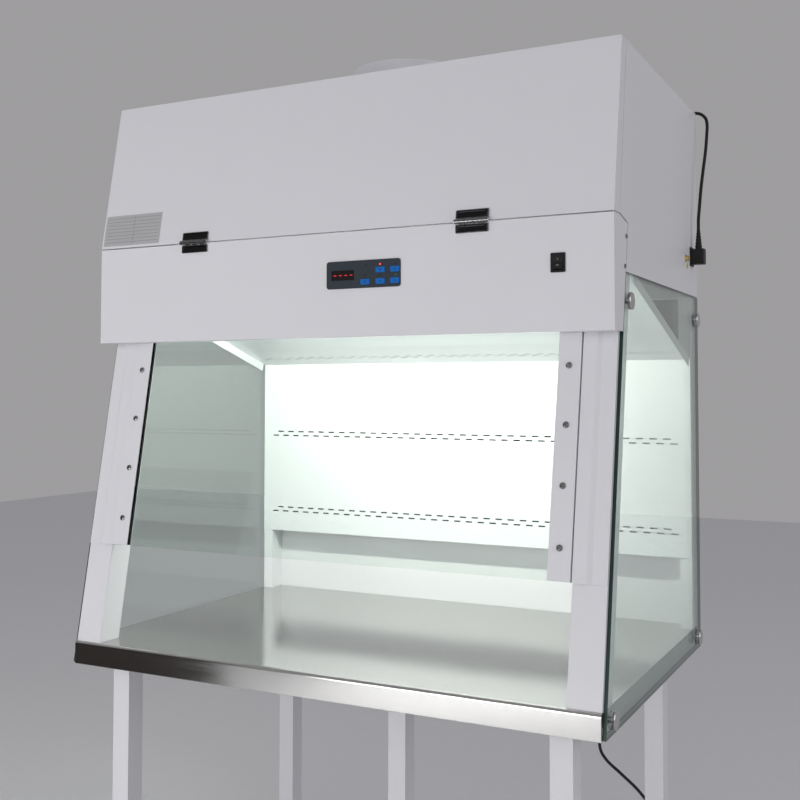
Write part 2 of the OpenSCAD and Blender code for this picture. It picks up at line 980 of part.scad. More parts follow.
// Sheet-metal box over the filter, with the fan's bell-mouthed inlet in its top
module fan_box() {
    w = filter_w + 24;
    d = filter_d + 24;
    h = fan_box_top - deck_top;
    rim = 14;
    at_datum()
        color(STEEL)
            translate([0, filter_y, deck_top])
                union() {
                    difference() {
                        union() {
                            translate([-w / 2, -d / 2, 0])
                                cube([w, d, h]);
                            translate([-w / 2 - rim, -d / 2 - rim, 0])
                                cube([w + 2 * rim, d + 2 * rim, sheet]);
                        }
                        translate([-w / 2 + sheet, -d / 2 + sheet, -1])
                            cube([w - 2 * sheet, d - 2 * sheet, h - sheet + 1]);
                        translate([0, fan_y - filter_y, h - sheet - 1])
                            cylinder(r = throat_r + bell_r + 1, h = 4);
                    }
                    translate([0, fan_y - filter_y, h])
                        bell_mouth();
                }
}

throat_r = eye_r - 3 - sheet;
bell_r = 14;

// Inlet that narrows upwards from the box's top to its throat
module bell_mouth() {
    c = [throat_r + bell_r, bell_r - sheet];
    r = bell_r - sheet;
    rotate_extrude($fn = 96)
        polygon(concat(
            [[throat_r + bell_r + 2, -sheet]],
            [for (a = [0:15:90]) c + bell_r * [-sin(a), -cos(a)]],
            [[throat_r, 18], [throat_r + sheet, 18]],
            [for (a = [90:-15:0]) c + r * [-sin(a), -cos(a)]],
            [[throat_r + bell_r + 2, 0]]
        ));
}

// Four-legged bracket that hangs the motor over the inlet
module motor_bracket() {
    strip = 26;
    h = motor_top - fan_box_top;
    at_datum()
        color(STEEL)
            translate([0, fan_y, fan_box_top]) {
                for (a = [45:90:315])
                    rotate([0, 0, a])
                        rotate([90, 0, 0])
                            linear_extrude(strip, center = true)
                                polygon([
                                    [bracket_r - 22, 0], [bracket_r, 0], [bracket_r, h + 2],
                                    [30, h + 2], [30, h], [bracket_r - 2, h],
                                    [bracket_r - 2, 2], [bracket_r - 22, 2]
                                ]);
                translate([0, 0, h])
                    cylinder(r = 56, h = 2);
            }
}

// Motor body with cooling ribs, its shaft pointing down through the hub
module fan_motor() {
    at_datum()
        color(BLACK)
            translate([0, fan_y, motor_z]) {
                rotate_extrude()
                    polygon([
                        [0, 0], [38, 0], [44, 5], [44, 12], [48, 12], [48, 15], [44, 15],
                        [44, 19], [48, 19], [48, 22], [44, 22], [44, 26], [48, 26], [48, 29],
                        [44, 29], [44, 40], [52, 42], [52, motor_h], [0, motor_h]
                    ]);
                translate([0, 0, -30])
                    cylinder(r = shaft_r, h = 31);
            }
}

// Backward-curved impeller: hub, backplate, curved blades and an inlet shroud
module fan_impeller() {
    blade_t = 2;
    at_datum()
        color(ALUMINIUM)
            translate([0, fan_y, 0])
                difference() {
                    union() {
                        translate([0, 0, backplate_z])
                            cylinder(r = impeller_r, h = 2, $fn = 96);
                        translate([0, 0, backplate_z - 24])
                            cylinder(r = hub_r, h = 24);
                        impeller_shroud();
                        for (i = [0:blades - 1])
                            rotate([0, 0, i * 360 / blades])
                                translate([0, 0, shroud_z + 1])
                                    linear_extrude(backplate_z - shroud_z)
                                        blade_outline(blade_t);
                    }
                    translate([0, 0, backplate_z - 30])
                        cylinder(r = shaft_r + 0.05, h = 40);
                }
}

// Flat shroud ring with a neck that runs over the inlet
module impeller_shroud() {
    neck = eye_r;
    translate([0, 0, shroud_z])
        rotate_extrude($fn = 96)
            polygon(concat(
                [[neck, -16]],
                [for (a = [0:15:90]) [neck + 11 - 11 * cos(a), -9 + 11 * sin(a)]],
                [[impeller_r, 2], [impeller_r, 0]],
                [for (a = [90:-15:0]) [neck + 11 - 9 * cos(a), -9 + 9 * sin(a)]],
                [[neck + 2, -16]]
            ));
}

// Blade: a band between two arcs, from the eye to the rim, leaning backwards
module blade_outline(t) {
    arc_r = 88;
    inner_r = eye_r - 5;
    outer_r = impeller_r - 1;
    centre = [inner_r + 6, -arc_r];
    intersection() {
        translate(centre)
            difference() {
                circle(arc_r + t, $fn = 96);
                circle(arc_r, $fn = 96);
            }
        difference() {
            circle(outer_r, $fn = 96);
            circle(inner_r, $fn = 96);
        }
        translate([0, -outer_r])
            square([outer_r, outer_r + 30]);
    }
}

// ---------- lamp ----------

lamp_y = 98;
lamp_z = 138;
lamp_r = 8;
lamp_half = min(445, half_w - 70);

// Upright sheet from the ceiling's front edge up to the deck
module plenum_front_wall() {
    low = baffle_top + ceiling_rise - 2;
    at_datum()
        color(WHITE)
            along_x(-half_w + sheet, half_w - sheet)
                polygon([[wall_front_y, low], [wall_front_y + sheet, low],
                         [wall_front_y + sheet, deck_z - sheet],
                         [wall_front_y + 18, deck_z - sheet], [wall_front_y + 18, deck_z],
                         [wall_front_y, deck_z]]);
}

// Tube with a metal cap and two pins at each end
module lamp_tube() {
    at_datum()
        color(PAPER)
            translate([0, lamp_y, lamp_z]) {
                rotate([0, 90, 0])
                    cylinder(r = lamp_r, h = 2 * lamp_half - 30, center = true);
                both_sides() {
                    translate([lamp_half - 15, 0, 0])
                        rotate([0, 90, 0])
                            cylinder(r = lamp_r + 0.4, h = 14);
                    for (z = [-2.5, 2.5])
                        translate([lamp_half - 1, 0, z])
                            rotate([0, 90, 0])
                                cylinder(r = 1.1, h = 7);
                }
            }
}

// Lamp holders on the plenum's front wall, bored for the tube's pins
module lamp_holders() {
    at_datum()
        color(WHITE)
            both_sides()
                difference() {
                    union() {
                        translate([lamp_half - 0.7, lamp_y, lamp_z])
                            rotate([0, 90, 0])
                                cylinder(r = 12, h = 16);
                        translate([lamp_half - 0.7, lamp_y, lamp_z - 9])
                            cube([16, wall_front_y - lamp_y, 18]);
                    }
                    for (z = [-2.5, 2.5])
                        translate([lamp_half - 2, lamp_y, lamp_z + z])
                            rotate([0, 90, 0])
                                cylinder(r = 1.3, h = 10);
                }
}

// ---------- control flap ----------

// Flap side outline in (y, z): leaning rear edge and a sloping shoulder
module flap_side_outline() {
    gap = flap_gap;
    polygon([[0, 0], [edge_y(0) - gap, 0], [edge_y(flap_knee_z) - gap, flap_knee_z],
             [flap_top_y, flap_h], [0, flap_h]]);
}

// Folded flap: face, side returns, lower return with a lip, narrow top flange
module control_flap() {
    lip = 12;
    at_datum()
        color(WHITE)
            difference() {
                union() {
                    along_x(-half_w, half_w)
                        polygon([
                            [0, 0], [flap_return, 0], [flap_return, lip],
                            [flap_return - sheet, lip], [flap_return - sheet, sheet],
                            [sheet, sheet], [sheet, flap_h - sheet], [14, flap_h - sheet],
                            [14, flap_h], [0, flap_h]
                        ]);
                    both_sides()
                        along_x(half_w - sheet, half_w)
                            flap_side_outline();
                }
                in_flap_plane(-1, sheet + 1)
                    translate([keypad_x + 4.5, keypad_z + 4.5])
                        square([keypad_w - 5.6, keypad_h - 9]);
                in_flap_plane(-1, sheet + 1)
                    translate([rocker_x - 11.1, rocker_z - 14.5])
                        square([22.2, 29]);
                both_sides()
                    for (p = flap_fixings)
                        along_x(half_w - 3, half_w + 1)
                            translate(p)
                                circle(2.2);
            }
}

// Captive side screws with their nuts behind the joggled edge
module flap_screws() {
    nut_x = half_w - 3 * sheet - 1.2 - 0.3;
    at_datum()
        color(POLISHED)
            both_sides()
                for (p = flap_fixings)
                    translate([half_w, p[0], p[1]]) {
                        rotate([0, -90, 0])
                            pan_screw(4, 2.2, 2, half_w - nut_x + 4);
                        translate([nut_x - half_w - 3, 0, 0])
                            rotate([0, 90, 0])
                                cylinder(r = 4, h = 3, $fn = 6);
                    }
}

// ---------- keypad ----------

// Panel with the display window, key openings and indicator holes
module keypad_panel() {
    at_datum()
        color(SLATE)
            in_flap_plane(-keypad_t, 0)
                difference() {
                    translate([keypad_x, keypad_z])
                        round_rect(keypad_w, keypad_h, 5);
                    translate([window[0], window[1]])
                        square([window[2], window[3]]);
                    for (p = key_places)
                        translate([p[0] - key_size[0] / 2 - key_clear,
                                   p[1] - key_size[1] / 2 - key_clear])
                            round_rect(key_size[0] + 2 * key_clear,
                                       key_size[1] + 2 * key_clear, 1.7);
                    for (p = leds)
                        translate(p)
                            circle(led_r + 0.2);
                }
}

key_places = [[key_xs[1], key_top_row], [key_xs[2], key_top_row], [key_xs[0], key_low_row],
              [key_xs[1], key_low_row], [key_xs[2], key_low_row]];

// Key cap with a retaining skirt and a stem that ends one travel short of the board
module key_cap(p) {
    skirt = 0.35;
    stem_end = board_y - key_travel - 0.05;
    at_datum()
        color(KEY_BLUE)
            translate([p[0], 0, p[1]]) {
                in_flap_plane(-keypad_t - 0.8, 0.3)
                    translate([-key_size[0] / 2, -key_size[1] / 2])
                        round_rect(key_size[0], key_size[1], 1.5);
                in_flap_plane(0.25, 1.25)
                    translate([-key_size[0] / 2 - skirt, -key_size[1] / 2 - skirt])
                        square([key_size[0] + 2 * skirt, key_size[1] + 2 * skirt]);
                in_flap_plane(1, stem_end)
                    circle(2.2);
            }
}

module key_upper_left() key_cap(key_places[0]);
module key_upper_right() key_cap(key_places[1]);
module key_lower_left() key_cap(key_places[2]);
module key_lower_middle() key_cap(key_places[3]);
module key_lower_right() key_cap(key_places[4]);

// Display body on the board, its dark face in the panel's window
module display_module() {
    clear = 0.3;
    at_datum()
        color(BLACK)
            in_flap_plane(-0.6, board_y)
                translate([window[0] + clear, window[1] + clear])
                    square([window[2] - 2 * clear, window[3] - 2 * clear]);
}

// Indicator lamps on the board, domes proud of the panel
module indicator_leds() {
    at_datum()
        color("#7a2a24")
            for (p = leds)
                translate([p[0], board_y, p[1]])
                    rotate([90, 0, 0]) {
                        cylinder(r = led_r, h = board_y + keypad_t, $fn = 24);
                        translate([0, 0, board_y + keypad_t - led_r + 0.7])
                            intersection() {
                                sphere(led_r, $fn = 24);
                                cylinder(r = led_r, h = 2 * led_r);
                            }
                    }
}

// Board on four spacers behind the flap's face, with a cable header
module control_board() {
    x0 = keypad_x - 6;
    z0 = keypad_z - 6;
    w = keypad_w + 12;
    h = keypad_h + 12;
    at_datum()
        color("#2f5d3d") {
            in_flap_plane(board_y, board_y + board_t)
                translate([x0, z0])
                    square([w, h]);
            for (x = [x0 + 4, x0 + w - 4], z = [z0 + 4, z0 + h - 4])
                translate([x, board_y + 0.2, z])
                    rotate([90, 0, 0])
                        cylinder(r = 2.5, h = board_y - sheet + 0.2);
            translate([x0 + 22, board_y + board_t - 0.1, z0 + 6])
                cube([34, 9, 8]);
            translate([x0 + 92, board_y + board_t - 0.1, z0 + 20])
                cube([19, 12, 15.5]);
        }
}

// ---------- rocker switch ----------

// Bezel, hollow body and terminals of the mains switch
module rocker_bezel() {
    body = [21.8, 28.6, 22];
    at_datum()
        color(BLACK)
            translate([rocker_x, 0, rocker_z])
                difference() {
                    union() {
                        in_flap_plane(-bezel[2], 0)
                            translate([-bezel[0] / 2, -bezel[1] / 2])
                                round_rect(bezel[0], bezel[1], 1.5);
                        in_flap_plane(-0.5, body[2])
                            translate([-body[0] / 2, -body[1] / 2])
                                square([body[0], body[1]]);
                        for (z = [-8, 0, 8])
                            translate([-3.2, body[2] - 0.1, z - 0.4])
                                cube([6.4, 8, 0.8]);
                    }
                    in_flap_plane(-bezel[2] - 1, 17)
                        translate([-pocket[0] / 2, -pocket[1] / 2])
                            square([pocket[0], pocket[1]]);
                    translate([0, rocker_pivot_y, 0])
                        rotate([0, 90, 0])
                            cylinder(r = 1.55, h = pocket[0] + 2.6, center = true);
                }
}

// Paddle with two sloping faces and trunnions that snap into the bezel
module rocker_paddle() {
    reach = 11.4;
    at_datum()
        color(BLACK)
            translate([rocker_x, rocker_pivot_y, rocker_z])
                rotate([-rocker_tilt, 0, 0]) {
                    along_x(-pocket[0] / 2 + 0.3, pocket[0] / 2 - 0.3)
                        polygon([[-7, reach - 0.4], [-6.4, reach], [-2, reach], [4, 5], [4, -5],
                                 [-2, -reach], [-6.4, -reach], [-7, -reach + 0.4],
                                 [-5.4, 0]]);
                    rotate([0, 90, 0])
                        cylinder(r = 1.5, h = pocket[0] + 2.2, center = true);
                }
}

// ---------- hinges ----------

hinge_centres = [-hinge_left, hinge_right];
knuckle_w = hinge_w / knuckles;

// Left end of knuckle i of a hinge centred on x = 0
function knuckle_x(i) = -hinge_w / 2 + i * knuckle_w;

// Leaf of a hinge on a plate that leans by tilt, from the pin upwards, or downwards
// with way = -1. It holds the knuckles first, first + 2, ...
module hinge_leaf(first, height, tilt, way) {
    across = [-leaf_t * cos(tilt), leaf_t * sin(tilt)];
    up = [sin(tilt), cos(tilt)];
    root = [0, pin_z];
    tab = [root + seam * up, root + seam * up + across,
           root + (leaf_clear + 1) * up + across, root + (leaf_clear + 1) * up];
    for (i = [first:2:knuckles - 1])
        along_x(knuckle_x(i) + knuckle_gap / 2, knuckle_x(i + 1) - knuckle_gap / 2) {
            translate([pin_y, pin_z])
                circle(knuckle_r);
            polygon([for (p = tab) [p[0], pin_z + way * (p[1] - pin_z)]]);
        }
    translate([0, 0, pin_z])
        mirror([0, 0, way < 0 ? 1 : 0])
            rotate([-tilt, 0, 0])
                in_flap_plane(-leaf_t, 0)
                    translate([(knuckle_gap - hinge_w) / 2, leaf_clear])
                        round_rect(hinge_w - knuckle_gap, height - leaf_clear, 2);
}

// Bore for the pin through all the knuckles of a leaf
module pin_bore() {
    translate([-hinge_w / 2 - 1, pin_y, pin_z])
        rotate([0, 90, 0])
            cylinder(r = pin_r + 0.05, h = hinge_w + 2);
}

leaf_clear = knuckle_r + 0.9;

module upper_hinge_leaves() {
    at_datum()
        color(DARK_CHROME)
            for (x = hinge_centres)
                translate([x, 0, 0])
                    difference() {
                        hinge_leaf(0, up_slope(leaf_h), lean, 1);
                        pin_bore();
                    }
}

module lower_hinge_leaves() {
    at_datum()
        color(DARK_CHROME)
            for (x = hinge_centres)
                translate([x, 0, 0])
                    difference() {
                        hinge_leaf(1, leaf_h, 0, -1);
                        pin_bore();
                    }
}

// Pins with a small head at each end
module hinge_pins() {
    at_datum()
        color(POLISHED)
            for (x = hinge_centres)
                translate([x, pin_y, pin_z])
                    rotate([0, 90, 0]) {
                        cylinder(r = pin_r, h = hinge_w + 2, center = true);
                        for (s = [-1, 1])
                            translate([0, 0, s * (hinge_w / 2 + 0.8)])
                                cylinder(r = pin_r + 1, h = 1.2, center = true);
                    }
}

// ---------- power inlet and lead ----------

inlet_flange = [28, 38, 2.5];
inlet_body = [23, 32, 26];
inlet_pocket = [17.4, 25.4, 20];
earth_place = [492, 167];

module inlet_cut_out() {
    along_x(half_w - 4, half_w + 1)
        translate([inlet_y - inlet_body[0] / 2 - 0.2, inlet_z - inlet_body[1] / 2 - 0.2])
            square([inlet_body[0] + 0.4, inlet_body[1] + 0.4]);
}

blade_places = [[0, 7], [-4, -3], [4, -3]];

// Panel inlet with three blades in its pocket
module power_inlet() {
    at_datum()
        color(BLACK)
            translate([half_w, inlet_y, inlet_z]) {
                difference() {
                    union() {
                        along_x(0, inlet_flange[2])
                            translate([-inlet_flange[0] / 2, -inlet_flange[1] / 2])
                                round_rect(inlet_flange[0], inlet_flange[1], 3);
                        along_x(-inlet_body[2], 0.5)
                            translate([-inlet_body[0] / 2, -inlet_body[1] / 2])
                                square([inlet_body[0], inlet_body[1]]);
                    }
                    along_x(-inlet_pocket[2], inlet_flange[2] + 1)
                        translate([-inlet_pocket[0] / 2, -inlet_pocket[1] / 2])
                            square([inlet_pocket[0], inlet_pocket[1]]);
                }
                for (p = blade_places)
                    along_x(-inlet_pocket[2] - 1, -6)
                        translate(p)
                            square([2, 4.4], center = true);
            }
}

// Brass earthing stud with a washer and two nuts
module earth_terminal() {
    at_datum()
        color(BRASS)
            translate([half_w, earth_place[0], earth_place[1]])
                rotate([0, 90, 0]) {
                    translate([0, 0, -8])
                        cylinder(r = 3, h = 17);
                    cylinder(r = 7, h = 1.2);
                    translate([0, 0, 1.1])
                        cylinder(r = 5.6, h = 4, $fn = 6);
                    translate([0, 0, -sheet - 4])
                        cylinder(r = 5.6, h = 4, $fn = 6);
                }
}

// Right-angle connector with a tapered, ribbed strain relief
module power_connector() {
    nose = [16.8, 24.8, 17];
    head = [23, 31];
    exit_x = connector_x - half_w;
    at_datum()
        color(BLACK)
            translate([half_w, inlet_y, inlet_z]) {
                difference() {
                    union() {
                        along_x(-nose[2], inlet_flange[2] + 1)
                            translate([-nose[0] / 2, -nose[1] / 2])
                                square([nose[0], nose[1]]);
                        along_x(inlet_flange[2] + 0.2, 27)
                            translate([-head[0] / 2, -head[1] / 2])
                                round_rect(head[0], head[1], 4);
                    }
                    for (p = blade_places)
                        along_x(-nose[2] - 1, -3)
                            translate(p)
                                square([2.8, 5.2], center = true);
                }
                translate([exit_x, 0, head[1] / 2 - 1])
                    rotate_extrude()
                        polygon(relief_profile(relief_z - inlet_z - head[1] / 2 + 1, 7.5,
                                               cord_d / 2 + 0.6));
            }
}

// Outline of a strain relief of height h that tapers from r0 to r1 in steps
function relief_profile(h, r0, r1) =
    let (ribs = 6, step = h / ribs)
    concat(
        [[0, 0]],
        [for (i = [0:ribs - 1], k = [0, 1])
            let (r = r0 + (r1 - r0) * (i + k * 0.5) / ribs)
            [r - (k == 0 ? 0 : 0.9), (i + (k == 0 ? 0 : 0.6)) * step]],
        [[r1, h], [0, h]]
    );

// Catmull-Rom point on the span from b to c
function blend(a, b, c, d, t) =
    0.5 * (2 * b + (c - a) * t + (2 * a - 5 * b + 4 * c - d) * t * t
           + (3 * b - a - 3 * c + d) * t * t * t);

function route_point(p, i) =
    i < 0 ? 2 * p[0] - p[1]
    : i >= len(p) ? 2 * p[len(p) - 1] - p[len(p) - 2]
    : p[i];

function smooth_route(p, steps) = concat(
    [for (i = [0:len(p) - 2], k = [0:steps - 1])
        blend(route_point(p, i - 1), p[i], p[i + 1], route_point(p, i + 2), k / steps)],
    [p[len(p) - 1]]
);

function unit(v) = v / norm(v);

// Tube swept along a route of points
module swept_tube(route, r, sides) {
    n = len(route);
    aside = [1, 1, 1];
    rings = [for (i = [0:n - 1])
        let (
            t = unit(route[min(i + 1, n - 1)] - route[max(i - 1, 0)]),
            u = unit(cross(t, aside)),
            v = cross(t, u)
        )
        for (k = [0:sides - 1])
            route[i] + r * (cos(k * 360 / sides) * u + sin(k * 360 / sides) * v)];
    polyhedron(
        points = rings,
        faces = concat(
            [[for (k = [0:sides - 1]) k]],
            [[for (k = [sides - 1:-1:0]) (n - 1) * sides + k]],
            [for (i = [0:n - 2], k = [0:sides - 1])
                let (a = i * sides + k, b = i * sides + (k + 1) % sides)
                [a, a + sides, b + sides, b]]
        )
    );
}

module power_cord() {
    at_datum()
        color(BLACK)
            swept_tube(smooth_route(cord_route, 2), cord_d / 2, 10);
}

// Outer shape of the stored turns, flat on the floor
module cord_coil() {
    at_datum()
        color(BLACK)
            translate([coil_x, coil_y, floor_z])
                rotate_extrude()
                    translate([coil_r - coil_bundle / 2, 0])
                        round_rect(coil_bundle, coil_bundle, cord_d / 2);
}

// Three-pin plug with a tapered relief, lying beside the coil
module mains_plug() {
    body = [30, 34, 20];
    relief = 26;
    plug_y = coil_y;
    plug_x = coil_x - coil_r - coil_bundle / 2 - cord_d / 2 - 0.9;
    at_datum()
        color(BLACK)
            translate([plug_x, plug_y, floor_z]) {
                translate([0, 0, body[2] / 2])
                    rotate([90, 0, 0])
                        cylinder(r1 = cord_d / 2 + 0.6, r2 = 7, h = relief);
                translate([-body[0] / 2, -relief - body[1] + 0.5, 0])
                    linear_extrude(body[2])
                        round_rect(body[0], body[1], 6);
                for (p = [[-6, 6], [6, 6], [0, -5]])
                    translate([p[0], -relief - body[1] - 8, body[2] / 2 + p[1] * 0.7])
                        cube([p[0] == 0 ? 1.6 : 6, 18, p[0] == 0 ? 6 : 1.6], center = true);
            }
}

left_leg_frame();
right_leg_frame();
centre_leg();
cross_rails();
leg_end_caps();
work_table();
front_posts();
post_covers();
guide_strips();
guide_rails();
sash_channels();
strip_screws();
front_sash();
left_side_glass();
right_side_glass();
glass_fixings();
rear_posts();
rear_wall();
rear_baffle();
sloped_ceiling();
left_side_panel();
right_side_panel();
top_panel();
back_panel();
upper_front_panel();
front_beam();
exhaust_collar();
filter_deck();
filter_frame();
filter_pleats();
fan_box();
motor_bracket();
fan_motor();
fan_impeller();
plenum_front_wall();
lamp_tube();
lamp_holders();
control_flap();
keypad_panel();
display_module();
control_board();
key_upper_left();
key_upper_right();
key_lower_left();
key_lower_middle();
key_lower_right();
indicator_leds();
rocker_bezel();
rocker_paddle();
flap_screws();
upper_hinge_leaves();
lower_hinge_leaves();
hinge_pins();
power_inlet();
earth_terminal();
power_connector();
power_cord();
cord_coil();
mains_plug();
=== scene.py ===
"""Biosafety cabinet: finishes, mains lead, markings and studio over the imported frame."""

import json
import logging
import math
from dataclasses import dataclass, field
from enum import Enum
from typing import Callable, Protocol, Sequence

import bpy
from mathutils import Matrix, Vector


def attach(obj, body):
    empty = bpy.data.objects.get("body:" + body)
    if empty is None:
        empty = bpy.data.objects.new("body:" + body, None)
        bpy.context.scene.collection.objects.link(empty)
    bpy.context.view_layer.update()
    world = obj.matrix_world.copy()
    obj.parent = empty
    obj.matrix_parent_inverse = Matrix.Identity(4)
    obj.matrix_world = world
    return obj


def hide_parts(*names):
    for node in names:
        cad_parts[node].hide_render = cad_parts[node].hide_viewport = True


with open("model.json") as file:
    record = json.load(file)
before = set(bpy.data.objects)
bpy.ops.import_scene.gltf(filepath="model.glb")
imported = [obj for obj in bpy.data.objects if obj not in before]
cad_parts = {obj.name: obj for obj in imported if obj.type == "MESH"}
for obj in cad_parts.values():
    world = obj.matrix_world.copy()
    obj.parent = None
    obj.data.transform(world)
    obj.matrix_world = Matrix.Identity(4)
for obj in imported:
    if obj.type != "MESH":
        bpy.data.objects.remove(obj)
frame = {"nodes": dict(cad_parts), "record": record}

LOG = logging.getLogger("cabinet")
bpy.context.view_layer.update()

Point = tuple[float, float, float]
Colour = tuple[float, float, float]
Sockets = dict[int | str, object]

MID_DEPTH = 265.5
FLAP_HEIGHT = 1263.0
LEAN = math.radians(10.0)


def row(x: float, y: float, z: float) -> Vector:
    """Turns a place measured from the flap's datum, in mm, into the row frame, in metres."""
    return Vector((x, y - MID_DEPTH, z + FLAP_HEIGHT)) / 1000.0


class Body(Enum):
    """The bodies that new pieces ride on, apart from the keys."""

    CABINET = "cabinet"
    FLAP = "flap"
    ROCKER = "rocker"


class Grain(Enum):
    """Direction of a brushed grain, as the scale of its noise along X, Y and Z."""

    ALONG_X = (6.0, 900.0, 900.0)
    ALONG_Z = (900.0, 900.0, 6.0)


# ---- shader maths


class Value:
    """A shader socket on which arithmetic adds Math nodes."""

    def __init__(self, paint: "Paint", socket: bpy.types.NodeSocket) -> None:
        """Wraps a socket of the material that paint is building."""
        self.paint = paint
        self.socket = socket

    def _math(self, operation: str, a: object, b: object = 0.0, clamp: bool = False) -> "Value":
        """Adds a Math node.

        Args:
            operation: the node's operation.
            a: first value or number.
            b: second value or number.
            clamp: whether the result is held between 0 and 1.

        Returns:
            The node's result.
        """
        made = self.paint.node(
            "ShaderNodeMath", {"operation": operation, "use_clamp": clamp}, {0: a, 1: b}
        )
        return Value(self.paint, made.outputs[0])

    def __add__(self, other: object) -> "Value":
        """Sum."""
        return self._math("ADD", self, other)

    __radd__ = __add__

    def __sub__(self, other: object) -> "Value":
        """Difference."""
        return self._math("SUBTRACT", self, other)

    def __rsub__(self, other: object) -> "Value":
        """Difference from a number."""
        return self._math("SUBTRACT", other, self)

    def __mul__(self, other: object) -> "Value":
        """Product."""
        return self._math("MULTIPLY", self, other)

    __rmul__ = __mul__

    def __gt__(self, other: object) -> "Value":
        """One where this is the greater, else zero."""
        return self._math("GREATER_THAN", self, other)

    def __lt__(self, other: object) -> "Value":
        """One where this is the smaller, else zero."""
        return self._math("LESS_THAN", self, other)

    def __abs__(self) -> "Value":
        """Absolute value."""
        return self._math("ABSOLUTE", self)

    def __pow__(self, other: object) -> "Value":
        """Power."""
        return self._math("POWER", self, other)

    def wrap(self, period: float) -> "Value":
        """Remainder after division by period."""
        return self._math("FLOORED_MODULO", self, period)

    def clamped(self) -> "Value":
        """Held between 0 and 1."""
        return self._math("ADD", self, 0.0, True)


class Paint:
    """One procedural material in the making."""

    def __init__(self, name: str) -> None:
        """Starts an empty node material.

        Args:
            name: the material's name.
        """
        self.material = bpy.data.materials.new(name)
        self.material.use_nodes = True
        self.tree = self.material.node_tree
        self.tree.nodes.clear()
        self._place: bpy.types.Node | None = None

    def node(
        self,
        kind: str,
        settings: dict[str, object] | None = None,
        sockets: Sockets | None = None,
    ) -> bpy.types.Node:
        """Adds a node.

        Args:
            kind: the node's type.
            settings: its own settings, set first. "stops" fills a colour ramp.
            sockets: values or links of its inputs, by name or index.

        Returns:
            The node.
        """
        made = self.tree.nodes.new(kind)
        for key, value in (settings or {}).items():
            if key == "stops":
                ramp = made.color_ramp.elements
                while len(ramp) < len(value):
                    ramp.new(0.5)
                for stop, (place, colour) in zip(ramp, value):
                    stop.position = place
                    stop.color = (*colour, 1.0)
            else:
                setattr(made, key, value)
        for key, value in (sockets or {}).items():
            if isinstance(value, Value):
                self.tree.links.new(value.socket, made.inputs[key])
            elif isinstance(value, bpy.types.NodeSocket):
                self.tree.links.new(value, made.inputs[key])
            else:
                made.inputs[key].default_value = value
        return made

    def place(self) -> tuple[Value, Value, Value]:
        """Object coordinates X, Y and Z, in metres."""
        apart = self.node("ShaderNodeSeparateXYZ", None, {0: self.coordinates()})
        return tuple(Value(self, out) for out in apart.outputs)

    def coordinates(self) -> bpy.types.NodeSocket:
        """Finds the material's one Texture Coordinate node.

        Returns:
            Its Object output.
        """
        if self._place is None:
            self._place = self.node("ShaderNodeTexCoord")
        return self._place.outputs["Object"]

    def noise(self, scale: Sequence[float], detail: float = 3.0, roughness: float = 0.5) -> Value:
        """Noise whose scale differs along X, Y and Z.

        Args:
            scale: noise cells per metre along each axis.
            detail: octaves.
            roughness: strength of each finer octave.

        Returns:
            The noise's factor, about 0.5.
        """
        turned = self.node(
            "ShaderNodeMapping", None, {"Vector": self.coordinates(), "Scale": scale}
        )
        made = self.node(
            "ShaderNodeTexNoise",
            None,
            {"Vector": turned.outputs[0], "Scale": 1.0, "Detail": detail, "Roughness": roughness},
        )
        return Value(self, made.outputs[0])

    def mix(self, factor: object, first: object, second: object) -> bpy.types.NodeSocket:
        """Mixes two colours.

        Args:
            factor: share of the second colour, a value or a number.
            first: a colour or a link.
            second: a colour or a link.

        Returns:
            The mixed colour.
        """
        made = self.node("ShaderNodeMix", {"data_type": "RGBA"}, {"Factor": factor})
        for key, colour in ((6, first), (7, second)):
            if isinstance(colour, tuple):
                made.inputs[key].default_value = (*colour, 1.0)
            else:
                self.tree.links.new(colour, made.inputs[key])
        return made.outputs[2]

    def bump(
        self, height: Value, strength: float, distance: float, rounded: float = 0.0
    ) -> bpy.types.NodeSocket:
        """Bump from a height, over edges that look rounded.

        Args:
            height: the height map.
            strength: how strongly it shows.
            distance: height of one unit in metres.
            rounded: radius of the softened edges in metres, or 0 for sharp ones.

        Returns:
            A normal.
        """
        sockets: Sockets = {
            "Strength": strength,
            "Distance": distance,
            "Height": height,
        }
        if rounded > 0.0:
            soft = self.node("ShaderNodeBevel", {"samples": 4}, {"Radius": rounded})
            sockets["Normal"] = soft.outputs[0]
        return self.node("ShaderNodeBump", None, sockets).outputs[0]

    def surface(self, sockets: Sockets) -> bpy.types.Material:
        """Ends the material with a Principled BSDF."""
        shader = self.node("ShaderNodeBsdfPrincipled", None, sockets)
        return self.finish(shader.outputs[0])

    def finish(self, shader: bpy.types.NodeSocket) -> bpy.types.Material:
        """Links a shader to the output and returns the material."""
        self.node("ShaderNodeOutputMaterial", None, {"Surface": shader})
        return self.material


# ---- finishes


class Finish(Protocol):
    """What every finish offers."""

    @property
    def name(self) -> str:
        """The material's name."""

    def make(self) -> bpy.types.Material:
        """Builds the material."""


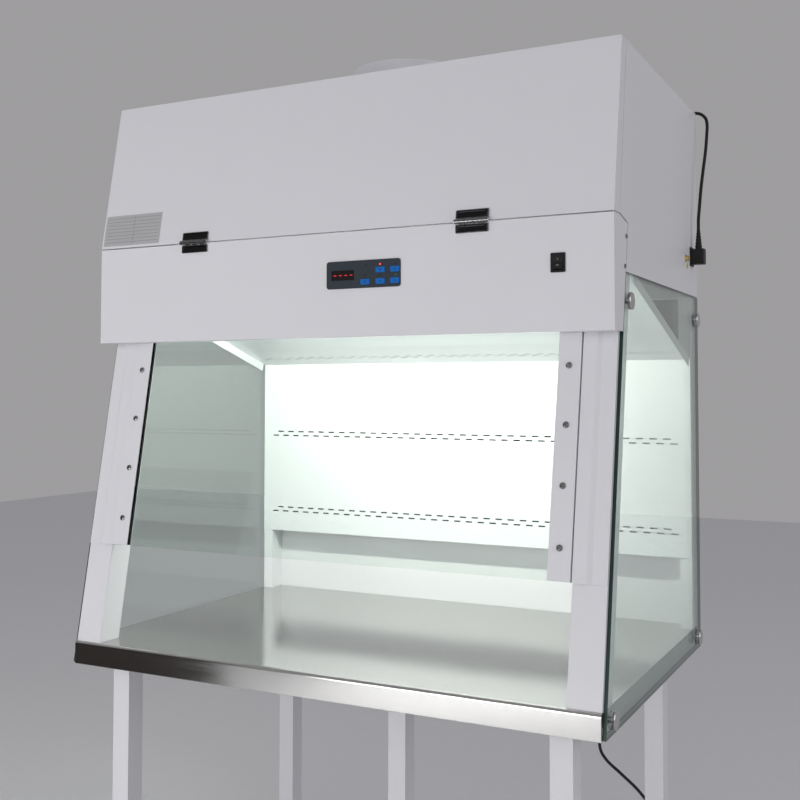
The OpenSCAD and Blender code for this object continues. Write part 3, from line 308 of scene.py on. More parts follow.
@dataclass(frozen=True)
class PowderCoat:
    """Gloss powder coat with a fine orange peel and faint dust.

    Inside the box between two corners, if it is given, the coat is painted near black as painted
    shade.
    """

    name: str
    colour: Colour = (0.78, 0.775, 0.805)
    roughness: float = 0.34
    peel: float = 0.10
    rounded: float = 0.0012
    shaded_box: tuple[Vector, Vector] | None = None
    shade_colour: Colour = (0.012, 0.013, 0.016)

    def make(self) -> bpy.types.Material:
        """Builds the material.

        Returns:
            The material.
        """
        paint = Paint(self.name)
        dust = paint.noise((5.0, 5.0, 5.0), 4.0, 0.6)
        peel = paint.noise((420.0, 420.0, 420.0), 2.0)
        dull = tuple(c * 0.965 for c in self.colour)
        coat = paint.mix(dust, dull, self.colour)
        # Painted shade: inside the given box the coat's colour is swapped for a near-black one.
        if self.shaded_box:
            inside = 1.0
            for place, low, high in zip(paint.place(), *self.shaded_box):
                inside = inside * (place > low) * (place < high)
            coat = paint.mix(inside, coat, self.shade_colour)
        return paint.surface(
            {
                "Base Color": coat,
                "Roughness": self.roughness + (dust - 0.5) * 0.08 + (peel - 0.5) * 0.04,
                "Normal": paint.bump(peel, self.peel, 0.0004, self.rounded),
                "Specular IOR Level": 0.5,
            }
        )


@dataclass(frozen=True)
class BrushedSteel:
    """Sheet steel with a brushed grain."""

    name: str
    grain: Grain = Grain.ALONG_X
    colour: Colour = (0.60, 0.60, 0.585)
    roughness: float = 0.12
    rounded: float = 0.0010

    def make(self) -> bpy.types.Material:
        """Builds the material.

        Returns:
            The material.
        """
        paint = Paint(self.name)
        streak = paint.noise(self.grain.value, 3.0, 0.65)
        band = paint.noise(tuple(s / 8.0 for s in self.grain.value), 2.0)
        smear = paint.noise((3.0, 3.0, 3.0), 3.0)
        dark = tuple(c * 0.84 for c in self.colour)
        return paint.surface(
            {
                "Base Color": paint.mix((streak * 0.7 + band * 0.3).clamped(), dark, self.colour),
                "Metallic": 1.0,
                "Roughness": self.roughness + (streak - 0.5) * 0.18 + (smear - 0.5) * 0.10,
                "Normal": paint.bump(streak, 0.12, 0.0002, self.rounded),
            }
        )


@dataclass(frozen=True)
class PlatedMetal:
    """Polished or plated metal with light wear."""

    name: str
    colour: Colour = (0.72, 0.73, 0.74)
    roughness: float = 0.10
    rounded: float = 0.0006

    def make(self) -> bpy.types.Material:
        """Builds the material.

        Returns:
            The material.
        """
        paint = Paint(self.name)
        wear = paint.noise((90.0, 90.0, 90.0), 4.0, 0.6)
        fine = paint.noise((1500.0, 1500.0, 1500.0), 2.0)
        dark = tuple(c * 0.8 for c in self.colour)
        return paint.surface(
            {
                "Base Color": paint.mix(wear, dark, self.colour),
                "Metallic": 1.0,
                "Roughness": self.roughness + (wear - 0.5) * 0.12 + (fine - 0.5) * 0.04,
                "Normal": paint.bump(fine, 0.05, 0.0002, self.rounded),
            }
        )


@dataclass(frozen=True)
class Moulded:
    """Moulded plastic or rubber with a fine spark grain."""

    name: str
    colour: Colour = (0.03, 0.03, 0.032)
    roughness: float = 0.42
    grain: float = 0.15
    rounded: float = 0.0006
    coat: float = 0.0

    def make(self) -> bpy.types.Material:
        """Builds the material.

        Returns:
            The material.
        """
        paint = Paint(self.name)
        spark = paint.noise((1100.0, 1100.0, 1100.0), 2.0)
        shade = paint.noise((30.0, 30.0, 30.0), 3.0)
        light = tuple(min(1.0, c * 1.15 + 0.004) for c in self.colour)
        return paint.surface(
            {
                "Base Color": paint.mix(shade, self.colour, light),
                "Roughness": self.roughness + (spark - 0.5) * 0.10 + (shade - 0.5) * 0.06,
                "Normal": paint.bump(spark, self.grain, 0.0002, self.rounded),
                "Coat Weight": self.coat,
                "Specular IOR Level": 0.22,
            }
        )


@dataclass(frozen=True)
class SheetGlass:
    """Toughened float glass: clear faces, dark green ground edges.

    The faces are those whose normal runs along the given axis. Their reflection grows from
    head_on by up to edge_on.
    """

    name: str
    normal: Point = (1.0, 0.0, 0.0)
    tint: Colour = (0.955, 0.985, 0.968)
    edge: Colour = (0.006, 0.024, 0.019)
    head_on: float = 0.05
    edge_on: float = 0.85

    def make(self) -> bpy.types.Material:
        """Builds the material.

        Returns:
            The material.
        """
        paint = Paint(self.name)
        geometry = paint.node("ShaderNodeNewGeometry")
        along = paint.node(
            "ShaderNodeVectorMath",
            {"operation": "DOT_PRODUCT"},
            {0: geometry.outputs["True Normal"], 1: self.normal},
        )
        face = abs(Value(paint, along.outputs["Value"])) > 0.7
        smudge = paint.noise((7.0, 7.0, 7.0), 4.0, 0.6)
        clear = paint.node("ShaderNodeBsdfTransparent", None, {"Color": (*self.tint, 1.0)})
        gloss = paint.node(
            "ShaderNodeBsdfGlossy",
            None,
            {"Color": (0.95, 1.0, 0.98, 1.0), "Roughness": 0.02 + smudge * 0.03},
        )
        weight = paint.node("ShaderNodeLayerWeight", None, {"Blend": 0.5})
        grazing = Value(paint, weight.outputs["Facing"])
        pane = paint.node(
            "ShaderNodeMixShader",
            None,
            {
                0: grazing ** 4.0 * self.edge_on + self.head_on,
                1: clear.outputs[0],
                2: gloss.outputs[0],
            },
        )
        ground = paint.node(
            "ShaderNodeBsdfPrincipled",
            None,
            {
                "Base Color": paint.mix(smudge, self.edge, tuple(c * 1.6 for c in self.edge)),
                "Roughness": 0.3,
                "Specular IOR Level": 0.3,
            },
        )
        both = paint.node(
            "ShaderNodeMixShader", None, {0: face, 1: ground.outputs[0], 2: pane.outputs[0]}
        )
        return paint.finish(both.outputs[0])


@dataclass(frozen=True)
class Glow:
    """A lit surface, with unlit metal caps past its half length along X if that is given."""

    name: str
    colour: Colour = (0.93, 1.0, 0.93)
    strength: float = 10.0
    half_length: float = 0.0
    body: Colour = (0.9, 0.92, 0.88)

    def make(self) -> bpy.types.Material:
        """Builds the material.

        Returns:
            The material.
        """
        paint = Paint(self.name)
        x, _, _ = paint.place()
        cap = abs(x) > self.half_length if self.half_length else x * 0.0
        metal = (0.55, 0.56, 0.57)
        return paint.surface(
            {
                "Base Color": paint.mix(cap, self.body, metal),
                "Roughness": 0.3 + cap * 0.05,
                "Emission Color": paint.mix(cap, self.colour, (0.0, 0.0, 0.0)),
                "Emission Strength": self.strength,
            }
        )


@dataclass(frozen=True)
class IndicatorLenses:
    """Tinted lamp lenses, each lit or dark by its place on the panel."""

    name: str
    lit: Point = (109.8, 0.0, 124.5)
    dim: Point = (140.9, 0.0, 104.7)
    reach: float = 0.004

    def _near(self, paint: Paint, spot: Point) -> Value:
        """Finds the surface near a lamp's middle.

        Args:
            paint: the material in the making.
            spot: the middle, in mm from the flap's datum.

        Returns:
            One within reach of it, else zero.
        """
        x, _, z = paint.place()
        place = row(*spot)
        return (abs(x - place.x) < self.reach) * (abs(z - place.z) < self.reach)

    def make(self) -> bpy.types.Material:
        """Builds the material.

        Returns:
            The material.
        """
        paint = Paint(self.name)
        red = self._near(paint, self.lit)
        green = self._near(paint, self.dim)
        cloud = paint.noise((900.0, 900.0, 900.0), 2.0)
        base = paint.mix(red, (0.03, 0.028, 0.03), (0.8, 0.05, 0.06))
        glow = paint.mix(red, (0.0, 0.0, 0.0), (1.0, 0.06, 0.08))
        return paint.surface(
            {
                "Base Color": paint.mix(green, base, (0.03, 0.14, 0.06)),
                "Roughness": 0.16 + cloud * 0.08,
                "Emission Color": paint.mix(green, glow, (0.005, 0.05, 0.02)),
                "Emission Strength": 0.9,
            }
        )


@dataclass(frozen=True)
class RuledPlate:
    """Satin silver plate with blank printed rules and one column line."""

    name: str
    low: Point = (-521.0, 0.0, 192.0)
    high: Point = (-381.0, 0.0, 254.0)
    rows: int = 9

    def make(self) -> bpy.types.Material:
        """Builds the material.

        Returns:
            The material.
        """
        paint = Paint(self.name)
        x, _, z = paint.place()
        low, high = row(*self.low), row(*self.high)
        pitch = (high.z - low.z) / self.rows
        rule = (z - low.z).wrap(pitch) < 0.0007
        edge = (abs(x - (low.x + high.x) / 2.0) > (high.x - low.x) / 2.0 - 0.0035) + (
            abs(z - (low.z + high.z) / 2.0) > (high.z - low.z) / 2.0 - 0.0030
        )
        column = abs(x - (low.x + (high.x - low.x) * 0.52)) < 0.0004
        ink = ((rule + column) * (1.0 - edge.clamped())).clamped()
        satin = paint.noise((30.0, 700.0, 700.0), 3.0)
        silver = paint.mix(satin, (0.50, 0.50, 0.51), (0.56, 0.56, 0.57))
        return paint.surface(
            {
                "Base Color": paint.mix(ink * 0.75, silver, (0.14, 0.14, 0.15)),
                "Roughness": 0.36 + satin * 0.12,
                "Normal": paint.bump(satin, 0.05, 0.0002, 0.0),
                "Metallic": 0.25,
            }
        )


@dataclass(frozen=True)
class PleatedPaper:
    """Glass-fibre filter paper."""

    name: str
    colour: Colour = (0.82, 0.83, 0.80)

    def make(self) -> bpy.types.Material:
        """Builds the material.

        Returns:
            The material.
        """
        paint = Paint(self.name)
        fibre = paint.noise((260.0, 60.0, 260.0), 5.0, 0.7)
        soil = paint.noise((9.0, 9.0, 9.0), 3.0)
        return paint.surface(
            {
                "Base Color": paint.mix(soil, tuple(c * 0.9 for c in self.colour), self.colour),
                "Roughness": 0.86 + (fibre - 0.5) * 0.1,
                "Normal": paint.bump(fibre, 0.4, 0.0004),
            }
        )


FINISHES: dict[str, Finish] = {
    "painted_white": PowderCoat("painted_white"),
    "stainless": BrushedSteel("stainless"),
    "polished": PlatedMetal("polished", (0.62, 0.62, 0.63), 0.09),
    "hinge_metal": PlatedMetal("hinge_metal", (0.24, 0.24, 0.245), 0.12),
    "black_plastic": Moulded("black_plastic", (0.012, 0.012, 0.013)),
    "lead_black": Moulded("lead_black", (0.014, 0.014, 0.015), 0.46, 0.10),
    "slate_panel": Moulded("slate_panel", (0.032, 0.042, 0.052), 0.38, 0.06, 0.0004),
    "key_blue": Moulded("key_blue", (0.005, 0.135, 0.48), 0.36, 0.05, 0.0005, 0.05),
    "led_lens": IndicatorLenses("led_lens"),
    "display_dark": Moulded("display_dark", (0.010, 0.004, 0.005), 0.12, 0.0, 0.0003, 0.3),
    "circuit_board": Moulded("circuit_board", (0.03, 0.15, 0.06), 0.35, 0.3),
    "bare_aluminium": BrushedSteel("bare_aluminium", Grain.ALONG_Z, (0.70, 0.71, 0.72), 0.30),
    "clear_glass": SheetGlass("clear_glass"),
    "filter_paper": PleatedPaper("filter_paper"),
    "lamp_glass": Glow("lamp_glass", strength=4.0, half_length=0.4295),
    "earth_brass": PlatedMetal("earth_brass", (0.62, 0.47, 0.16), 0.22),
    "zinc_steel": PlatedMetal("zinc_steel", (0.52, 0.53, 0.54), 0.34),
}
SCREW_STEEL = PlatedMetal("screw_steel", (0.30, 0.30, 0.305), 0.12)


class FinishBook:
    """Makes each finish once and hands out its material."""

    def __init__(self) -> None:
        """Starts with no material made."""
        self.made: dict[str, bpy.types.Material] = {}

    def get(self, finish: Finish) -> bpy.types.Material:
        """Makes a finish's material on its first use.

        Args:
            finish: the finish.

        Returns:
            Its material.
        """
        if finish.name not in self.made:
            self.made[finish.name] = finish.make()
        return self.made[finish.name]

    def dress(self, piece: bpy.types.Object, finish: Finish) -> None:
        """Gives a piece one material in all its slots.

        Args:
            piece: the piece or node.
            finish: its finish.
        """
        material = self.get(finish)
        if not piece.data.materials:
            piece.data.materials.append(material)
        for index in range(len(piece.data.materials)):
            piece.data.materials[index] = material


# ---- bench

SHARP_ANGLE = math.radians(30.0)
SMOOTH_ANGLE = math.radians(35.0)


class Bench:
    """Modelling steps that the sub-assemblies share."""

    @staticmethod
    def clear() -> None:
        """Leaves edit mode and deselects everything."""
        if bpy.context.object and bpy.context.object.mode != "OBJECT":
            bpy.ops.object.mode_set(mode="OBJECT")
        bpy.ops.object.select_all(action="DESELECT")

    @staticmethod
    def only(piece: bpy.types.Object) -> None:
        """Selects one piece and makes it active.

        Args:
            piece: the piece.
        """
        Bench.clear()
        piece.select_set(True)
        bpy.context.view_layer.objects.active = piece

    @staticmethod
    def block(name: str, centre: Vector, size: Point, tilt: float = 0.0) -> bpy.types.Object:
        """Adds a block, sized in mm, turned about X by tilt and set in place.

        Args:
            name: the piece's name.
            centre: its middle in the row frame, in metres.
            size: its width, depth and height in mm.
            tilt: turn about X in radians.

        Returns:
            The piece, selected and active.
        """
        Bench.clear()
        bpy.ops.mesh.primitive_cube_add(size=1.0, location=centre, rotation=(tilt, 0.0, 0.0))
        made = bpy.context.active_object
        made.name = name
        made.data.name = name
        made.scale = tuple(s / 1000.0 for s in size)
        return made

    @staticmethod
    def disc(
        name: str, centre: Vector, radius: float, thickness: float, sides: int
    ) -> bpy.types.Object:
        """Adds a flat disc that faces along X, its sizes in mm.

        Args:
            name: the piece's name.
            centre: its middle in the row frame, in metres.
            radius: its radius.
            thickness: its thickness.
            sides: how many sides its rim has.

        Returns:
            The piece, selected and active.
        """
        Bench.clear()
        bpy.ops.mesh.primitive_cylinder_add(
            vertices=sides, radius=radius / 1000.0, depth=thickness / 1000.0, location=centre,
            rotation=(0.0, math.pi / 2, 0.0),
        )
        made = bpy.context.active_object
        made.name = name
        made.data.name = name
        return made

    @staticmethod
    def ring(
        name: str, centre: Vector, radii: tuple[float, float], tilt: float = 0.0
    ) -> bpy.types.Object:
        """Adds a printed ring that faces forwards.

        Args:
            name: the piece's name.
            centre: its middle in the row frame, in metres.
            radii: radius of the ring and of its line, in metres.
            tilt: turn about X in radians.

        Returns:
            The piece, with its place in its mesh.
        """
        Bench.clear()
        bpy.ops.mesh.primitive_torus_add(
            major_segments=28, minor_segments=8, major_radius=radii[0], minor_radius=radii[1],
            location=centre, rotation=(math.pi / 2 + tilt, 0.0, 0.0),
        )
        made = bpy.context.active_object
        made.name = name
        Bench.settle(made)
        return made

    @staticmethod
    def settle(piece: bpy.types.Object) -> None:
        """Moves a piece's place, turn and size into its mesh."""
        Bench.only(piece)
        bpy.ops.object.transform_apply(location=True, rotation=True, scale=True)

    @staticmethod
    def pick(piece: bpy.types.Object, wanted: Callable[[Vector, Vector], bool]) -> None:
        """Enters edit mode with some faces selected.

        Args:
            piece: the piece.
            wanted: tells from a face's middle and normal whether it is chosen.
        """
        Bench.only(piece)
        bpy.ops.object.mode_set(mode="EDIT")
        bpy.ops.mesh.select_mode(type="FACE")
        bpy.ops.mesh.select_all(action="DESELECT")
        bpy.ops.object.mode_set(mode="OBJECT")
        for face in piece.data.polygons:
            face.select = wanted(face.center, face.normal)
        bpy.ops.object.mode_set(mode="EDIT")

    @staticmethod
    def soften(piece: bpy.types.Object, width: float, segments: int) -> None:
        """Rounds the sharp edges and shades the piece smooth.

        Args:
            piece: the piece.
            width: width of the rounding in mm.
            segments: steps across it.
        """
        Bench.only(piece)
        made = piece.modifiers.new("edges", "BEVEL")
        made.width = width / 1000.0
        made.segments = segments
        made.limit_method = "ANGLE"
        made.angle_limit = SHARP_ANGLE
        bpy.ops.object.modifier_apply(modifier=made.name)
        bpy.ops.object.shade_smooth_by_angle(angle=SMOOTH_ANGLE)

    @staticmethod
    def join(pieces: Sequence[bpy.types.Object], name: str) -> bpy.types.Object:
        """Joins several pieces into one mesh.

        Args:
            pieces: the pieces.
            name: the joined piece's name.

        Returns:
            The joined piece.
        """
        Bench.clear()
        for piece in pieces:
            piece.select_set(True)
        bpy.context.view_layer.objects.active = pieces[0]
        bpy.ops.object.join()
        pieces[0].name = name
        pieces[0].data.name = name
        return pieces[0]


@dataclass
class Assembly:
    """A group of pieces that share a finish book."""

    book: FinishBook

    def hand_in(
        self, piece: bpy.types.Object, body: Body | str, finish: Finish, slot: str = ""
    ) -> bpy.types.Object:
        """Dresses a piece, lets it ride on its body and reports it.

        Args:
            piece: the finished piece.
            body: the body it moves with.
            finish: its finish.
            slot: the record's material slot, or the finish's own name; not used.

        Returns:
            The piece.
        """
        self.book.dress(piece, finish)
        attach(piece, body.value if isinstance(body, Body) else body)
        LOG.info("piece %s rides on %s", piece.name, body)
        return piece


# ---- mains lead

ROUTE: tuple[Point, ...] = (
    (540, 542, 228.1), (540, 542.3, 240), (540, 544, 253), (541, 549, 276), (543, 556, 315),
    (546, 565, 355), (549, 575, 395), (550, 584, 430), (550, 588.5, 452), (546, 592.5, 467),
    (535, 597, 478), (520, 600, 482), (505, 602.5, 478), (494.6, 604.5, 467.5), (490.4, 605.5, 452),
    (488, 606, 425), (484, 607, 370), (476, 609, 280), (465, 612, 170), (452, 615, 50),
    (437, 619, -80), (420, 624, -220), (401, 629, -360), (379, 633, -500), (354, 637, -630),
    (326, 640, -740), (304, 641, -810), (297, 641, -858), (311, 641, -886), (345, 641, -912),
    (385, 641, -944), (420, 642, -990), (441, 644, -1050), (450, 646, -1115),
    (454, 650, -1175), (461, 659, -1222), (470, 674, -1248), (478, 694, -1258.3),
    (480.3, 715, -1259.7),
)


@dataclass
class MainsLead(Assembly):
    """The flexible lead from the connector's strain relief to the plug."""

    diameter: float = 6.5
    coil_centre: Point = (434.0, 715.0, -1263.0)
    turn_radii: tuple[float, float] = (39.4, 32.8)
    layers: tuple[float, float] = (3.35, 9.95)
    turns: float = 3.5
    steps: int = 6
    turn_steps: int = 30

    def _along(self) -> list[Vector]:
        """Runs a Catmull-Rom curve along the open part of the route.

        Returns:
            Its points, in mm.
        """
        route = [Vector(p) for p in ROUTE]
        ends = [2 * route[0] - route[1], *route, 2 * route[-1] - route[-2]]
        points: list[Vector] = []
        for a, b, c, d in zip(ends, ends[1:], ends[2:], ends[3:]):
            for k in range(self.steps):
                t = k / self.steps
                points.append(
                    0.5 * (2 * b + (c - a) * t + (2 * a - 5 * b + 4 * c - d) * t * t
                           + (3 * b - a - 3 * c + d) * t ** 3)
                )
        return points

    def _coil(self) -> list[Vector]:
        """Winds the stored turns, laid beside and on each other.

        Returns:
            Their points, in mm.
        """
        outer, inner = self.turn_radii
        low, high = self.layers
        entry = Vector(ROUTE[-1]) - Vector(self.coil_centre)
        far = outer + self.diameter + 0.95
        stops = (
            (0.0, entry.x, entry.z), (70.0, outer, low), (295.0, outer, low),
            (365.0, inner, low), (640.0, inner, low), (720.0, inner, high),
            (1000.0, inner, high), (1075.0, outer, high), (1180.0, outer, high),
            (1260.0, far, high),
        )
        points: list[Vector] = []
        for step in range(int(self.turns * self.turn_steps) + 1):
            angle = step * 360.0 / self.turn_steps
            for (a0, r0, z0), (a1, r1, z1) in zip(stops, stops[1:]):
                if a0 <= angle <= a1:
                    t = (angle - a0) / (a1 - a0)
                    t = t * t * (3 - 2 * t)
                    radius, height = r0 + (r1 - r0) * t, z0 + (z1 - z0) * t
                    break
            turn = math.radians(angle)
            arm = Vector((radius * math.cos(turn), radius * math.sin(turn), height))
            points.append(Vector(self.coil_centre) + arm)
        return points

    def build(self) -> None:
        points = [row(*p) for p in self._along() + self._coil()]
        curve = bpy.data.curves.new("mains_lead", "CURVE")
        curve.dimensions = "3D"
        curve.bevel_depth = self.diameter / 2000.0
        curve.bevel_resolution = 5
        curve.use_fill_caps = True
        spline = curve.splines.new("POLY")
        spline.points.add(len(points) - 1)
        for knot, place in zip(spline.points, points):
            knot.co = (*place, 1.0)
        spline.use_smooth = True
        lead = bpy.data.objects.new("mains_lead", curve)
        bpy.context.collection.objects.link(lead)
        self.hand_in(lead, Body.CABINET, FINISHES["lead_black"])
        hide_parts("power_cord", "cord_coil")
        tuple(row(*ROUTE[0]))


# ---- control flap


@dataclass
class DisplayDigits(Assembly):
    """Four seven-segment digits in the window, each showing its middle bar."""

    first_x: float = 18.6
    pitch: float = 11.0
    mid_z: float = 108.1
    bar: tuple[float, float] = (6.4, 1.3)
    face_y: float = -0.6
    hexagon: tuple[float, float] = (0.0005, 0.0004)

    def _segment(self, name: str, x: float, z: float, upright: bool) -> bpy.types.Object:
        """Makes a six-sided bar, standing 0.15 mm proud of the display.

        Args:
            name: the bar's name.
            x: its middle across the flap, in mm.
            z: its middle's height, in mm.
            upright: whether it stands or lies.

        Returns:
            The bar.
        """
        Bench.clear()
        bpy.ops.mesh.primitive_cylinder_add(
            vertices=6, radius=self.hexagon[0], depth=self.hexagon[1],
            rotation=(math.pi / 2, 0.0, 0.0),
        )
        made = bpy.context.active_object
        made.name = name
        long, wide = self.bar
        if upright:
            made.scale = (wide, long * 1.02, 1.0)
        else:
            made.scale = (long, wide, 1.0)
        made.location = row(x, self.face_y + 0.05, z)
        Bench.settle(made)
        return made

    def build(self) -> None:
        """Makes the lit bars and the dark rest of each digit."""
        lit: list[bpy.types.Object] = []
        dark: list[bpy.types.Object] = []
        half = self.bar[0] * 0.56
        for i in range(4):
            x = self.first_x + i * self.pitch
            lit.append(self._segment("bar", x, self.mid_z, False))
            for side in (-1, 1):
                dark.append(self._segment("rest", x, self.mid_z + side * 2 * half, False))
                for end in (-1, 1):
                    z = self.mid_z + end * half
                    dark.append(self._segment("rest", x + side * half, z, True))
        self.hand_in(
            Bench.join(lit, "digit_bars_lit"), Body.FLAP,
            Glow("digit_red", (1.0, 0.035, 0.05), 1.1, body=(0.35, 0.01, 0.015)), "led_lens",
        )
        self.hand_in(
            Bench.join(dark, "digit_bars_dark"), Body.FLAP,
            Moulded("digit_dark", (0.004, 0.0015, 0.0015), 0.3, 0.0, 0.0), "display_dark",
        )


class Sign(Enum):
    """Plain signs printed on the keys."""

    RING = "ring"
    UP = "up"
    DOWN = "down"
    BAR = "bar"
    RAYS = "rays"


@dataclass
class KeySigns(Assembly):
    """A small printed sign on each key."""

    places: dict[str, tuple[float, float, Sign]] = field(
        default_factory=lambda: {
            "upper_left": (110.5, 114.9, Sign.RAYS),
            "upper_right": (139.1, 114.9, Sign.RING),
            "lower_left": (80.2, 95.1, Sign.BAR),
            "lower_middle": (110.5, 95.1, Sign.UP),
            "lower_right": (139.1, 95.1, Sign.DOWN),
        }
    )
    face_y: float = -2.4
    arrow: float = 0.0024
    ring: tuple[float, float] = (0.0021, 0.00032)
    stroke: Point = (0.6, 0.3, 2.2)
    ray: Point = (5.0, 0.2, 0.55)
    dash: Point = (6.0, 0.2, 0.6)

    def _sign(self, name: str, x: float, z: float, sign: Sign) -> bpy.types.Object:
        """Makes one sign, about 0.1 mm proud of its key.

        Args:
            name: the piece's name.
            x: its middle across the flap, in mm.
            z: its middle's height, in mm.
            sign: which sign it is.

        Returns:
            The sign.
        """
        centre = row(x, self.face_y, z)
        if sign in (Sign.UP, Sign.DOWN):
            Bench.clear()
            bpy.ops.mesh.primitive_cylinder_add(
                vertices=3, radius=self.arrow, depth=0.0002, location=centre,
                rotation=(math.pi / 2, 0.0, 0.0),
            )
            made = bpy.context.active_object
            made.scale = (1.0, 0.8 if sign is Sign.UP else -0.8, 1.0)
            Bench.settle(made)
            Bench.pick(made, lambda c, n: True)
            bpy.ops.mesh.normals_make_consistent(inside=False)
            Bench.clear()
        elif sign is Sign.RING:
            made = Bench.ring(name, centre, self.ring)
            bar = Bench.block("stroke", row(x, self.face_y, z + 2.0), self.stroke)
            Bench.settle(bar)
            made = Bench.join([made, bar], name)
        elif sign is Sign.RAYS:
            parts = []
            for k in range(4):
                part = Bench.block("ray", centre, self.ray)
                part.rotation_euler = (0.0, k * math.pi / 4, 0.0)
                Bench.settle(part)
                parts.append(part)
            made = Bench.join(parts, name)
        else:
            parts = []
            for k in (-1, 0, 1):
                part = Bench.block("bar", row(x, self.face_y, z + k * 1.5), self.dash)
                Bench.settle(part)
                parts.append(part)
            made = Bench.join(parts, name)
        made.name = name
        made.data.name = name
        return made

    def build(self) -> None:
        """Makes all five signs."""
        ink = Moulded("sign_ink", (0.012, 0.045, 0.15), 0.5, 0.0, 0.0)
        for key, (x, z, sign) in self.places.items():
            piece = self._sign(f"sign_{key}", x, z, sign)
            self.hand_in(piece, f"{key}_key", ink, "key_blue")


@dataclass
class RockerMarks(Assembly):
    """The I and O of the mains switch."""

    x: float = 432.6
    pivot: tuple[float, float] = (3.0, 109.8)
    tilt: float = math.radians(-6.0)
    face: float = 6.1
    heights: tuple[float, float] = (6.4, -6.2)
    stroke: Point = (0.8, 0.3, 4.4)
    ring: tuple[float, float] = (0.0020, 0.0003)

    def _at(self, along: float, out: float) -> Vector:
        """Finds a point on the tilted paddle.

        Args:
            along: distance up the paddle from its pivot, in mm.
            out: distance out from the pivot, in mm.

        Returns:
            The point in the row frame.
        """
        y = self.pivot[0] - out * math.cos(self.tilt) - along * math.sin(self.tilt)
        z = self.pivot[1] + along * math.cos(self.tilt) - out * math.sin(self.tilt)
        return row(self.x, y, z)

    def build(self) -> None:
        """Makes the two marks."""
        high, low = (self._at(height, self.face) for height in self.heights)
        stroke = Bench.block("rocker_mark_on", high, self.stroke, self.tilt)
        Bench.settle(stroke)
        Bench.soften(stroke, 0.06, 1)
        ring = Bench.ring("rocker_mark_off", low, self.ring, self.tilt)
        ink = Moulded("switch_ink", (0.55, 0.55, 0.56), 0.5, 0.0, 0.0)
        for piece in (stroke, ring):
            self.hand_in(piece, Body.ROCKER, ink, "black_plastic")


@dataclass
class HingeCovers(Assembly):
    """Pressed cover plates over the screws of each hinge leaf."""

    centres: tuple[float, float] = (-292.0, 283.0)
    size: Point = (55.0, 1.6, 12.4)
    seam_z: float = 187.0
    leaf_y: float = -2.0
    border: float = 0.0022
    step: tuple[float, float] = (0.0008, -0.0006)
    offset: float = 12.3

    def _plate(self, name: str, centre: Vector, tilt: float) -> bpy.types.Object:
        """Makes a plate with a shallow panel pressed into its face.

        Args:
            name: the plate's name.
            centre: its middle in the row frame, in metres.
            tilt: turn about X in radians.

        Returns:
            The plate.
        """
        made = Bench.block(name, Vector((0.0, 0.0, 0.0)), self.size)
        Bench.settle(made)
        Bench.pick(made, lambda c, n: n.y < -0.9)
        bpy.ops.mesh.inset(thickness=self.border, depth=0.0)
        bpy.ops.mesh.inset(thickness=self.step[0], depth=self.step[1])
        Bench.soften(made, 0.45, 2)
        made.data.transform(Matrix.Translation(centre) @ Matrix.Rotation(tilt, 4, "X"))
        return made

    def build(self) -> None:
        """Makes an upper and a lower cover for each hinge."""
        cover = PlatedMetal("hinge_cover", (0.030, 0.029, 0.031), 0.20)
        for side, x in zip(("left", "right"), self.centres):
            n = self.leaf_y - self.size[1] / 2
            y = self.offset * math.sin(LEAN) + n * math.cos(LEAN)
            z = self.seam_z + self.offset * math.cos(LEAN) - n * math.sin(LEAN)
            upper = self._plate(f"hinge_cover_upper_{side}", row(x, y, z), -LEAN)
            self.hand_in(upper, Body.CABINET, cover, "hinge_metal")
            under = row(x, n, self.seam_z - self.offset)
            lower = self._plate(f"hinge_cover_lower_{side}", under, 0.0)
            self.hand_in(lower, Body.FLAP, cover, "hinge_metal")


# ---- housing


@dataclass
class RatingPlate(Assembly):
    """Blank ruled plate at the lower left of the leaning front panel."""

    centre: tuple[float, float] = (-451.0, 223.0)
    size: Point = (140.0, 0.5, 62.5)
    seam_z: float = 187.0

    def build(self) -> None:
        """Makes the plate, lying on the panel."""
        x, z = self.centre
        y = (z - self.seam_z) * math.tan(LEAN) - self.size[1] / 2 / math.cos(LEAN)
        plate = Bench.block("rating_plate", row(x, y, z), self.size, -LEAN)
        Bench.settle(plate)
        Bench.soften(plate, 0.12, 1)
        self.hand_in(plate, Body.CABINET, RuledPlate("rating_plate"), "painted_white")


@dataclass
class EarthMark(Assembly):
    """Yellow disc with the plain earth sign, beside the terminal."""

    place: tuple[float, float] = (506.0, 153.0)
    radius: float = 6.5
    side_x: float = 525.0
    bars: tuple[Point, ...] = ((2.4, 0.8, 3.6), (0.4, 7.0, 0.8), (-1.4, 4.6, 0.8), (-3.2, 2.2, 0.8))

    def build(self) -> None:
        """Makes the disc and the bars of its sign."""
        y, z = self.place
        disc = Bench.disc("earth_disc", row(self.side_x + 0.1, y, z), self.radius, 0.3, 40)
        Bench.settle(disc)
        yellow = Moulded("earth_yellow", (0.72, 0.55, 0.03), 0.45, 0.1, 0.0)
        self.hand_in(disc, Body.CABINET, yellow, "earth_brass")
        bars = []
        for dz, width, height in self.bars:
            bar = Bench.block("bar", row(self.side_x + 0.3, y, z + dz), (0.2, width, height))
            Bench.settle(bar)
            bars.append(bar)
        self.hand_in(
            Bench.join(bars, "earth_sign"), Body.CABINET,
            Moulded("earth_ink", (0.02, 0.10, 0.03), 0.5, 0.0, 0.0), "black_plastic",
        )


# ---- frame and studio


